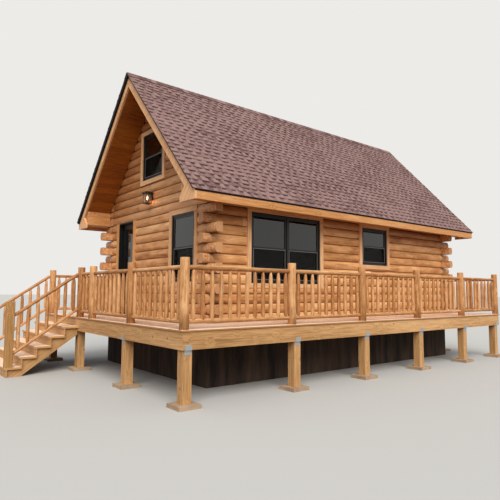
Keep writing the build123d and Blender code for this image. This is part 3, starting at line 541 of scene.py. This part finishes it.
def surround(form, outer, inner, edge=0.0):
    """Four boards between two boxes. The level ones run through, with the others between."""
    (low, high), (hole_low, hole_high) = outer, inner
    along = 0 if high.x - low.x > high.y - low.y else 1
    for bottom, top in ((low.z, hole_low.z), (hole_high.z, high.z)):
        between(form, (low.x, low.y, bottom), (high.x, high.y, top), edge)
    for start, end in ((low[along], hole_low[along]), (hole_high[along], high[along])):
        near, far = low.copy(), high.copy()
        near[along], far[along] = start, end
        near.z, far.z = hole_low.z, hole_high.z
        between(form, near, far, edge)


def place(form, name, material, slot, *stands_for, body="cabin"):
    """Turns a form into an object that rides on a body, instead of some CAD parts."""
    bmesh.ops.recalc_face_normals(form, faces=form.faces)
    mesh = bpy.data.meshes.new(name)
    form.to_mesh(mesh)
    form.free()
    mesh.materials.append(material)
    piece = stand(name, mesh)
    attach(piece, body)
    if stands_for:
        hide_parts(*stands_for)
    print(name, len(mesh.polygons), "faces")
    return piece


def solids(name):
    """The boxes round the separate solids of a CAD part, as (low, high) corners."""
    form = bmesh.new()
    form.from_mesh(nodes[name].data)
    bmesh.ops.remove_doubles(form, verts=form.verts, dist=0.00002)
    loose, boxes = set(form.verts), []
    while loose:
        group = [loose.pop()]
        for vert in group:
            for other in (line.other_vert(vert) for line in vert.link_edges):
                if other in loose:
                    loose.remove(other)
                    group.append(other)
        corners = [[pick(vert.co[axis] for vert in group) for axis in range(3)]
                   for pick in (min, max)]
        boxes.append((Vector(corners[0]), Vector(corners[1])))
    form.free()
    return sorted(boxes, key=lambda corners: tuple(corners[0]))


# Without its own seed, mathutils takes the offsets of noise_vector from the clock
random.seed(7)
noise.seed_set(7)

# %% [markdown]
# ## Shingles
#
# Laminated shingles have a plain base layer with a second layer of teeth, so a roof of them
# reads as courses broken up by lighter tabs and darker gaps. Each course is a row of thin
# strips about a metre long, tilted so that its lower edge stands on the course below, with
# teeth of random width on top. One matrix for each slope turns "along, down the slope, out
# of the roof" into room coordinates, so both slopes are made by the same lines.


# %% Roof courses
def slope_frame(side):
    """Along X, down one slope and out of it, from the ridge; side is -1 at the front."""
    down = Vector((0, side * math.cos(roof_pitch), -math.sin(roof_pitch)))
    out = Vector((0, side * math.sin(roof_pitch), math.cos(roof_pitch)))
    turn = Matrix((Vector((1, 0, 0)), down, out)).transposed().to_4x4()
    return Matrix.Translation((0, ridge_y, ridge_z)) @ turn


def on_slope(side, *place):
    """A place on one slope: its distances along X, down from the ridge and out of the roof."""
    return slope_frame(side) @ Matrix.Translation(place)


exposure, strip, strip_gap = 0.131, 0.985, 0.0015
shingle_thick, shingle_tilt = 0.004, 0.006
base_lift, tooth_lift, shadow_lift = 0.006, 0.010, 0.0115
tooth_widths, tooth_gaps, shadow_band = (0.07, 0.145), (0.06, 0.12), 0.041
rake_reach, eave_reach = 0.045, 0.018
slope_length = (ridge_y - eave_y[0]) / math.cos(roof_pitch) + eave_reach
shingle_x = (roof_x[0] - rake_reach, roof_x[1] + rake_reach)
courses = math.ceil(slope_length / exposure)


def shingle(form, lie, start, end, edge, length, lift, tone):
    """A flat strip from start to end along X whose lower edge is that far down the slope."""
    tilt = Matrix.Rotation(math.atan(shingle_tilt / exposure), 4, "X")
    spot = lie @ Matrix.Translation(((start + end) / 2, edge - length / 2, lift)) @ tilt
    plank(form, spot, (end - start, length, shingle_thick), tone=tone)


def strips(form, lie, edge):
    """The plain layer of one course: strips about a metre long, one beside the other."""
    x = shingle_x[0] - random.uniform(0, 0.9)
    while x < shingle_x[1]:
        end = x + strip
        shingle(form, lie, max(x, shingle_x[0]), min(end, shingle_x[1]), edge,
                min(exposure + 0.03, edge), base_lift, random.uniform(0.40, 0.48))
        x = end + strip_gap


def teeth(form, lie, edge, shaded):
    """The second layer of one course, and a dark band below each tooth: print and painted shadow."""
    x = shingle_x[0] - random.uniform(0, 0.2)
    while x < shingle_x[1] - 0.05:
        end = x + random.uniform(*tooth_widths)
        if end > shingle_x[0] + 0.04:
            start, stop = max(x, shingle_x[0]), min(end, shingle_x[1])
            shingle(form, lie, start, stop, edge - 0.001, min(exposure + 0.012, edge), tooth_lift,
                    random.uniform(0.44, 0.66))
            if shaded:
                shingle(form, lie, start - 0.004, stop - 0.006, edge + shadow_band, shadow_band,
                        shadow_lift, random.uniform(0.0, 0.2))
        x = end + random.uniform(*tooth_gaps)


form = new_form()
for side in (-1, 1):
    lie = slope_frame(side)
    for row in range(courses):
        strips(form, lie, slope_length - row * exposure)
        teeth(form, lie, slope_length - row * exposure, shaded=row > 0)

asphalt, tree, shader = new_material("asphalt_shingles", Roughness=0.95, Specular_IOR_Level=0.15)
where = add(tree, "TexCoord").outputs["Object"]
mixed = add(tree, "Attribute", attribute_name="tone").outputs["Fac"]
grit = add(tree, "TexNoise", {"Vector": where, "Scale": 90.0, "Detail": 3.0, "Roughness": 0.8})
cloud = add(tree, "TexNoise", {"Vector": where, "Scale": 1.3, "Detail": 2.0})
patches = add(tree, "TexNoise", {"Vector": where, "Scale": 15.0, "Detail": 3.0})
# Granules are 1 to 2 mm wide, and drawn 11 mm wide so that they show. Patches of 65 mm and
# clouds of 770 mm come from the mixing of colours in the factory
for part, weight in ((grit, 0.3), (cloud, 0.3), (patches, 0.34)):
    mixed = add(tree, "Math MULTIPLY_ADD", [part, weight, mixed])
granules = add(tree, "ValToRGB", {"Fac": mixed},
               stops=[(0.25, "#211513"), (1.0, "#8E726D"), (0.6, "#4D3734"), (0.85, "#6B514E")])
surface(tree, shader, granules, grit, strength=0.5, depth=0.002)
place(form, "shingle_courses", asphalt, "shingle")
dress(asphalt, "roof_front", "roof_back")

# %% [markdown]
# ## The ridge and the metal edges
#
# Over the ridge, single shingles are folded and lapped, each showing as much as a course
# does. Below the shingles' edges runs a drip edge, a black metal strip that keeps water off
# the boards. On the gables it stands out past the boards. The photograph shows it as a thin
# line on the front slope and as a broad black band on the back slope.

# %% Ridge caps and drip edges
form = new_form()
cap_length, cap_width, cap_lap, cap_lift, cap_tilt = 0.3, 0.152, 0.004, 0.020, 0.03
for index in range(int((shingle_x[1] - shingle_x[0]) / exposure)):
    x = shingle_x[0] + index * exposure
    length = min(cap_length, shingle_x[1] - x)
    tone = random.uniform(0.3, 0.6)
    for side in (-1, 1):
        spot = on_slope(side, x + length / 2, cap_width / 2 - cap_lap, cap_lift)
        plank(form, spot @ Matrix.Rotation(cap_tilt, 4, "Y"), (length, cap_width, shingle_thick),
              tone=tone)
place(form, "ridge_shingles", asphalt, "shingle", "ridge_cap")

form = new_form()
eave_drip, drip_thick, drip_lap = 0.034, 0.006, 0.004
front_rake_drip, back_rake_drip = 0.012, 0.065
drip_top = eave_z - fascia_thick * math.tan(roof_pitch)
for y, out in ((eave_y[0], -1), (eave_y[1], 1)):
    near, far = sorted((y, y + out * drip_thick))
    between(form, (roof_x[0], near, drip_top - eave_drip), (roof_x[1], far, drip_top + drip_lap))
rake_length = (ridge_y - eave_y[0]) / math.cos(roof_pitch)
for side, depth in ((-1, front_rake_drip), (1, back_rake_drip)):
    for x, out in ((roof_x[0], -1), (roof_x[1], 1)):
        spot = on_slope(side, x + out * rake_reach / 2, rake_length / 2, -depth / 2)
        plank(form, spot, (rake_reach, rake_length, depth))
place(form, "drip_edges", drip, "black_metal")

# %% [markdown]
# ## Boards under the roof
#
# Under the overhanging gables and inside the loft, boards run along the ridge. The level
# soffits under the eaves are boarded the same way. A gap of 3 mm between boards is enough
# to draw the lines that the eye looks for.

# %% Soffit boards
form = new_form()
lining, roof_depth, gable_board, board_line = 0.012, 0.205, 0.138, 0.003
wall_thick = 2 * half_log
overhangs = ((roof_x[0] + fascia_thick, house_x[0]), (house_x[1], roof_x[1] - fascia_thick))
rooms = ((house_x[0] + wall_thick, house_x[1] - wall_thick),)
top = roof_depth * math.tan(roof_pitch)
for side in (-1, 1):
    for runs, foot in ((overhangs, 0.0), (rooms, wall_thick)):
        half = (house_y[1] - house_y[0]) / 2 - foot
        low = (half + roof_depth * math.sin(roof_pitch)) / math.cos(roof_pitch) - lining
        count = round((low - top) / gable_board)
        width = (low - top) / count
        for start, end in runs:
            for index in range(count):
                spot = on_slope(side, (start + end) / 2, top + width * (index + 0.5),
                                -roof_depth - lining / 2)
                plank(form, spot, (end - start, width - board_line, lining))
place(form, "gable_soffit_boards", shaded_gable_soffit, "trim_pine")

form = new_form()
soffit_low, soffit_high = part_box("eave_soffits")
rows, soffit_lengths = 3, (2.2, 3.6)
for near, far in ((eave_y[0] + fascia_thick, house_y[0]), (house_y[1], eave_y[1] - fascia_thick)):
    width = (far - near) / rows
    for row in range(rows):
        x = soffit_low.x
        while x < soffit_high.x - 0.2:
            end = min(x + random.uniform(*soffit_lengths), soffit_high.x)
            between(form, (x, near + row * width + board_line / 2, soffit_low.z),
                    (end - 0.001, near + (row + 1) * width - board_line / 2, soffit_high.z))
            x = end
place(form, "eave_soffit_boards", trim_board, "trim_pine", "eave_soffits")

# %% [markdown]
# ## Panels in the ends of the eaves
#
# Past each gable wall the boxed eave is open towards the gable, between the upright board
# in line with the wall and the underside of the roof. A small panel behind the foot of the
# rake board closes it. It starts as a square board, and a cut along the underside of the
# roof takes its upper corner off.

# %% Eave end panels
form = new_form()
panel_thick, panel_width = 0.019, 0.28
for side, wall in ((-1, house_y[0]), (1, house_y[1])):
    lie = slope_frame(side)
    near, far = sorted((wall + side * panel_thick, wall + side * (panel_thick + panel_width)))
    for start in (roof_x[0] + fascia_thick, roof_x[1] - fascia_thick - panel_thick):
        corners = between(form, (start, near, soffit_high.z),
                          (start + panel_thick, far, soffit_high.z + panel_width * 1.1))
        board = list({part for vert in corners for part in (*vert.link_edges, *vert.link_faces)})
        cut = bmesh.ops.bisect_plane(form, geom=corners + board, clear_outer=True,
                                     plane_co=lie @ Vector((0, 0, -roof_depth)),
                                     plane_no=lie.to_3x3() @ Vector((0, 0, 1)))
        rim = [part for part in cut["geom_cut"] if isinstance(part, bmesh.types.BMEdge)]
        bmesh.ops.holes_fill(form, edges=rim)
place(form, "eave_end_panels", trim_board, "trim_pine")

# %% [markdown]
# ## Window trim
#
# Each window has four boards round it, butted together: the head and the sill run through,
# and the sides stand between them. Their places come from two CAD parts: the outside of
# each casing, and the window frame that it surrounds.

# %% Casing boards
form = new_form()
frames_at = solids("window_frames")
for low, high in solids("window_casings"):
    middle = (low + high) / 2
    inner = min(frames_at, key=lambda corners: ((corners[0] + corners[1]) / 2 - middle).length)
    surround(form, (low, high), inner, edge=0.002)
place(form, "window_trim", casing_board, "trim_pine", "window_casings")

# %% [markdown]
# ## Half screens
#
# A sash window opens at the bottom, so an insect screen covers its lower half. Its thin
# aluminium frame draws the pale lines in the dark windows, and its mesh dulls the glass
# behind it. A mesh this fine is a plain sheet that lets about half of the light through.

# %% Insect screens
frames, meshes = new_form(), new_form()
screen_bar, screen_thick, screen_depth = 0.011, 0.007, 0.009
mesh_depth, mesh_thick = 0.003, 0.001
panes = solids("window_glass")
for low, high in frames_at:
    inside = [pane for pane in panes if all(low[axis] - 0.01 < pane[0][axis] < high[axis] + 0.01
                                            for axis in range(3))]
    lowest = min(pane[0].z for pane in inside)
    thin = 0 if high.x - low.x < high.y - low.y else 1
    out = -1 if low[thin] < (house_x, house_y)[thin][0] + 0.5 else 1
    face = (low if out < 0 else high)[thin] - out * screen_depth
    rim = Vector((screen_bar, screen_bar, screen_bar))
    rim[thin] = 0
    for near, far in (pane for pane in inside if pane[0].z < lowest + 0.1):
        near[thin], far[thin] = sorted((face, face - out * screen_thick))
        surround(frames, (near - rim, far + rim), (near, far))
        behind = face - out * mesh_depth
        near[thin], far[thin] = sorted((behind, behind - out * mesh_thick))
        between(meshes, near, far)
place(frames, "screen_frames", screen_frame, "black_metal")
place(meshes, "screen_meshes", screen_mesh, "black_metal")

# %% [markdown]
# ## Deck boards
#
# The boards are 140 mm wide with gaps of 6 mm, and run along the edge on all four sides of
# the house. Long sides need two boards in a row, so the joints are moved from one row to
# the next, as a carpenter does.

# %% Deck boards
form = new_form()
board_pitch, board_gap, wall_gap = 0.146, 0.006, 0.005
board_lengths = (2.44, 3.66, 4.88)


def boarding(form, low, high, along):
    """Rows of boards that fill a rectangle of the deck, along X or Y."""
    across = 1 - along
    rows = round((high[across] - low[across]) / board_pitch)
    pitch = (high[across] - low[across] + board_gap) / rows
    for row in range(rows):
        start = low[along]
        while start < high[along] - 0.05:
            end = start + random.choice(board_lengths)
            if end > high[along] - 0.8:
                end = high[along]
            near, far = [0, 0, deck_low.z], [0, 0, deck_high.z]
            near[along], far[along] = start + 0.001, end - 0.001
            near[across] = low[across] + row * pitch
            far[across] = near[across] + pitch - board_gap
            between(form, near, far, edge=0.003)
            start = end


boarding(form, (deck_low.x, deck_low.y), (deck_high.x, house_y[0] - wall_gap), 0)
boarding(form, (deck_low.x, house_y[1] + wall_gap), (deck_high.x, deck_high.y), 0)
sides_y = (house_y[0] - wall_gap + board_gap, house_y[1] + wall_gap - board_gap)
boarding(form, (deck_low.x, sides_y[0]), (house_x[0] - wall_gap, sides_y[1]), 1)
boarding(form, (house_x[1] + wall_gap, sides_y[0]), (deck_high.x, sides_y[1]), 1)
place(form, "deck_planks", deck_wood, "deck_board", "deck_boards")

# %% [markdown]
# ## Peeled poles
#
# Posts, rails and spindles are whole small trees with the bark off. One tube is made once
# as a mesh, and copied for each pole. Then its rings are moved: each ring gets its place
# along the pole and its radius, and noise bends the pole slightly. The spindles are cut
# thin at both ends, like pencils, to fit holes in the rails.


# %% Pole maker
def tube(sides, rings):
    """A closed tube of radius 1 from z = 0 up, with rings one apart, as a mesh."""
    form = bmesh.new()
    bmesh.ops.create_cone(form, cap_ends=True, segments=sides, radius1=1, radius2=1,
                          depth=rings - 1, matrix=Matrix.Translation((0, 0, (rings - 1) / 2)))
    long_edges = [line for line in form.edges
                  if abs(line.verts[0].co.z - line.verts[1].co.z) > 0.5]
    bmesh.ops.subdivide_edges(form, edges=long_edges, cuts=rings - 2, use_grid_fill=True)
    mesh = bpy.data.meshes.new("tube")
    form.to_mesh(mesh)
    form.free()
    return mesh


def pole(form, shape, start, end, stations, bend=0.004, lumps=0.07, tone=None):
    """A peeled pole between two points; stations are (metres from the start, radius)."""
    start, end = Vector(start), Vector(end)
    first = len(form.verts)
    form.from_mesh(shape)
    form.verts.ensure_lookup_table()
    verts = form.verts[first:]
    spot = Matrix.Translation(start) @ (end - start).to_track_quat("Z", "Y").to_matrix().to_4x4()
    seed = random.uniform(0, 500)
    length = (end - start).length
    for vert in verts:
        along, radius = stations[round(vert.co.z)]
        belly = math.sin(math.pi * min(max(along / length, 0), 1))
        sway = noise.noise_vector((seed, along * 1.7, 0)) * bend * belly
        girth = radius * (1 + lumps * noise.noise((vert.co.x + seed, vert.co.y, along * 4)))
        vert.co = spot @ Vector((vert.co.x * girth + sway.x, vert.co.y * girth + sway.y, along))
    mark(form, verts, spot, 2, tone)


def smooth(piece):
    """Shades the long sides of poles as round, and leaves their sawn ends flat."""
    for face in piece.data.polygons:
        face.use_smooth = len(face.vertices) == 4


def spindle_stations(length):
    """Widths of a spindle: cut thin at both ends."""
    return [(0.0, 0.022), (0.035, 0.027), (0.075, 0.034), (length * 0.4, 0.0345),
            (length * 0.7, 0.034), (length - 0.13, 0.032), (length - 0.07, 0.024),
            (length - 0.03, 0.015)]


def rail_stations(length, radius):
    """Widths of a rail, with short necks where it enters the posts."""
    inner = [length * part for part in (0.2, 0.4, 0.6, 0.8)]
    return [(0.0, radius * 0.7), (0.035, radius * 0.97), *((step, radius) for step in inner),
            (length - 0.035, radius * 0.97), (length, radius * 0.7)]


slim_tube = tube(10, 8)
stout_tube = tube(20, 6)
print("tube faces", len(slim_tube.polygons), len(stout_tube.polygons))

# %% [markdown]
# ## Railings
#
# The CAD gives the boxes of the posts and of each bay of railing. A top rail, a bottom rail
# and the spindles between them are laid out again at the same spacing as in the CAD model,
# so what is seen and what is touched agree.

# %% Posts and level railings
form = new_form()
for low, high in solids("rail_posts"):
    radius = (high.x - low.x) / 2
    middle = (low + high) / 2
    height = high.z - low.z
    stations = [(0.0, radius), (height * 0.3, radius * 0.99), (height * 0.6, radius * 0.98),
                (height * 0.85, radius * 0.97), (height - 0.006, radius * 0.965),
                (height, radius * 0.93)]
    pole(form, stout_tube, (middle.x, middle.y, low.z), (middle.x, middle.y, high.z), stations,
         bend=0.003, lumps=0.03)
smooth(place(form, "peeled_posts", peeled, "peeled_pine", "rail_posts"))

spindle_gap = 0.172
top_radius, bottom_radius, tenon = 0.034, 0.032, 0.01
for name in ("front_railing", "back_railing", "left_railing", "right_railing"):
    form = new_form()
    for low, high in solids(name):
        along = 0 if high.x - low.x > high.y - low.y else 1
        middle = (low + high) / 2
        top = high.z - top_radius
        bottom = low.z + bottom_radius
        count = round((high[along] - low[along]) / spindle_gap)
        step = (high[along] - low[along]) / count
        length = high[along] - low[along] + 2 * tenon
        for level, radius in ((top, top_radius), (bottom, bottom_radius)):
            start, end = middle.copy(), middle.copy()
            start[along], end[along] = low[along] - tenon, high[along] + tenon
            start.z = end.z = level
            pole(form, slim_tube, start, end, rail_stations(length, radius), bend=0.006)
        for index in range(count):
            foot = middle.copy()
            foot[along] = low[along] + step * (index + 0.5)
            foot.z = bottom
            head = foot.copy()
            head.z = top
            pole(form, slim_tube, foot, head, spindle_stations(top - bottom))
    smooth(place(form, "peeled_" + name, peeled, "peeled_pine", name))

# %% [markdown]
# ## Stair rails
#
# The two sloping railings follow the line of the nosings. Their spindles stand plumb, so
# the heights of their ends come from the same slope as the rails.

# %% Stair railings
form = new_form()
stair_rail_radius = 0.033
for low, high in solids("stair_railings"):
    y = (low.y + high.y) / 2
    run = high.x - low.x
    rise = run * stair_rise / stair_run
    half_depth = stair_rail_radius / math.cos(stair_pitch)
    top_start = high.z - rise - half_depth
    low_start = low.z + half_depth
    for level in (top_start, low_start):
        start = Vector((low.x - tenon, y, level))
        end = Vector((high.x + tenon, y, level + rise))
        stations = rail_stations((end - start).length, stair_rail_radius)
        pole(form, slim_tube, start, end, stations, bend=0.005)
    count = round(run / spindle_gap)
    for index in range(count):
        part = (index + 0.5) / count
        foot = Vector((low.x + run * part, y, low_start + rise * part))
        head = Vector((foot.x, y, top_start + rise * part))
        pole(form, slim_tube, foot, head, spindle_stations(head.z - foot.z))
smooth(place(form, "peeled_stair_railings", peeled, "peeled_pine", "stair_railings"))

# %% [markdown]
# ## The lantern
#
# The lantern burns by day in the photograph. It has a flat roof that stands out over a glass
# box with slim corner bars, and hangs on a plate that is screwed to the logs. The bulb is
# bright but small, so a point lamp inside it throws the warm patch on the wall.

# %% Lantern cage
lantern_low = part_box("lantern")[0]
glass_low, glass_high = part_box("lantern_glass")
lamp = (glass_low + glass_high) / 2
half_cage, half_roof, bar, pane = 0.064, 0.097, 0.009, 0.003
floor_plate, floor_width, roof_plate, wall_plate = 0.012, 0.142, 0.014, 0.016
hood_rise, hood_sunk, half_arm, lap, eased = 0.03, 0.002, 0.014, 0.004, 0.002
cage_top = glass_high.z + 0.026


def slab(form, centre, size):
    """A plate of the lantern with eased edges, from its centre and its size."""
    plank(form, Matrix.Translation(centre), size, eased)


form = new_form()
for x in (lamp.x - half_cage, lamp.x + half_cage):
    for y in (lamp.y - half_cage, lamp.y + half_cage):
        between(form, (x - bar / 2, y - bar / 2, lantern_low.z + floor_plate / 2),
                (x + bar / 2, y + bar / 2, cage_top + lap))
slab(form, (lamp.x, lamp.y, lantern_low.z + floor_plate / 2), (floor_width, floor_width, floor_plate))
slab(form, (lamp.x, lamp.y, cage_top + roof_plate / 2), (2 * half_roof, 2 * half_roof, roof_plate))
hood = Matrix.Translation((lamp.x, lamp.y, cage_top + roof_plate + hood_rise / 2 - hood_sunk))
bmesh.ops.create_cone(form, cap_ends=True, segments=4, radius1=half_roof * 1.3, radius2=0.03,
                      depth=hood_rise, matrix=hood @ Matrix.Rotation(math.pi / 4, 4, "Z"))
slab(form, (house_x[0] - wall_plate / 2, lamp.y, lamp.z + 0.055), (wall_plate, 0.105, 0.15))
between(form, (lamp.x + half_cage, lamp.y - half_arm, cage_top - 0.022),
        (house_x[0] - 0.014, lamp.y + half_arm, cage_top + lap))
slab(form, (lamp.x, lamp.y, lantern_low.z + 0.032), (0.022, 0.022, 0.04))
place(form, "lantern_cage", black, "black_metal", "lantern")

# %% Lantern panes and bulb
form = new_form()
pane_foot = lantern_low.z + floor_plate
for axis in (0, 1):
    for side in (-1, 1):
        size = [2 * half_cage - bar] * 3
        size[axis], size[2] = pane, cage_top - pane_foot
        spot = Vector((lamp.x, lamp.y, (cage_top + pane_foot) / 2))
        spot[axis] += side * half_cage
        plank(form, Matrix.Translation(spot), size)
place(form, "lantern_panes", clear, "lantern_glass", "lantern_glass")

form = new_form()
bulb_radius, bulb_height, bulb_stretch = 0.021, 0.13, 2.1
tall = Matrix.Translation((lamp.x, lamp.y, lantern_low.z + bulb_height))
tall = tall @ Matrix.Diagonal((1, 1, bulb_stretch, 1))
bmesh.ops.create_icosphere(form, subdivisions=2, radius=bulb_radius, matrix=tall)
place(form, "lantern_bulb", glow, "lantern_glass")

# %% Lantern light
light_height = 0.068
warm = stand("lantern_light", bpy.data.lights.new("lantern_light", "POINT"))
warm.location = (lamp.x, lamp.y, lantern_low.z + light_height)
warm.data.energy = 1.2
warm.data.color = linear("#FFA558")[:3]
warm.data.shadow_soft_size = 0.012
print("lantern light at", [round(value, 3) for value in warm.location])

# %% [markdown]
# ## Small boxes on the wall
#
# Two small boxes for wiring sit low on the front wall near the corner, one grey and one
# dark. Only their outlines show behind the railing, so they stay plain, with a lid.

# %% Wall boxes
box_depth, box_sunk, lid_thick, lid_inset = 0.05, 0.02, 0.008, 0.006
for name, finish, slot, x, z in (("grey", grey_box, "galvanised", (-2.845, -2.724), (1.630, 1.790)),
                                 ("dark", black, "black_metal", (-2.840, -2.741), (1.267, 1.433))):
    form = new_form()
    face = house_y[0] - box_depth
    between(form, (x[0], face, z[0]), (x[1], house_y[0] + box_sunk, z[1]), edge=0.004)
    between(form, (x[0] + lid_inset, face - lid_thick, z[0] + lid_inset),
            (x[1] - lid_inset, face, z[1] - lid_inset), edge=0.002)
    place(form, name + "_wall_box", finish, slot)

# %% [markdown]
# ## Light and stage
#
# The photograph was taken under a pale sky with no hard sun, so most of the light is an even
# dome, with one very soft sun from the viewer's side for shape. The floor looks pale to the
# camera, to metal and to glass, but throws less light upwards than that, so that the space
# under the deck stays in shade as it does over bare ground.

# %% Sky
world = bpy.data.worlds.new("studio")
bpy.context.scene.world = world
world.use_nodes = True
sky = world.node_tree
sky.nodes.clear()
rays = add(sky, "LightPath").outputs
seen = rays["Is Camera Ray"]
for ray in ("Is Glossy Ray", "Is Transmission Ray"):
    seen = add(sky, "Math MAXIMUM", [seen, rays[ray]])
dome = add(sky, "Background", {"Color": "#E6EBF2", "Strength": 0.78})
shown = add(sky, "Background", {"Color": "#ECEBE8", "Strength": 1.0})
either = add(sky, "MixShader", [seen, dome, shown])
add(sky, "OutputWorld", {"Surface": either})
print("sky nodes", len(sky.nodes))

# %% Sun
sun = stand("sun", bpy.data.lights.new("sun", "SUN"))
sun.data.energy = 3.3
sun.data.angle = math.radians(45)
sun.data.color = (1.0, 0.97, 0.92)
sun.rotation_euler = (math.radians(50), 0, math.radians(-31))
print("sun strength", sun.data.energy)

# %% Floor
floor_mesh = bmesh.new()
bmesh.ops.create_grid(floor_mesh, x_segments=1, y_segments=1, size=200)
floor = stand("floor", bpy.data.meshes.new("floor"))
floor_mesh.to_mesh(floor.data)
floor_mesh.free()
floor_paint, tree, shader = new_material("pale_floor", Roughness=0.9, Specular_IOR_Level=0.1)
bounced = add(tree, "LightPath").outputs["Is Diffuse Ray"]
feed(tree, shader, {"Base Color": coats(tree, "#BDBBB6", ((bounced, "#7E6A58"),))})
floor.data.materials.append(floor_paint)
print("floor", [round(side) for side in floor.dimensions])

bpy.context.scene.view_settings.view_transform = "Standard"
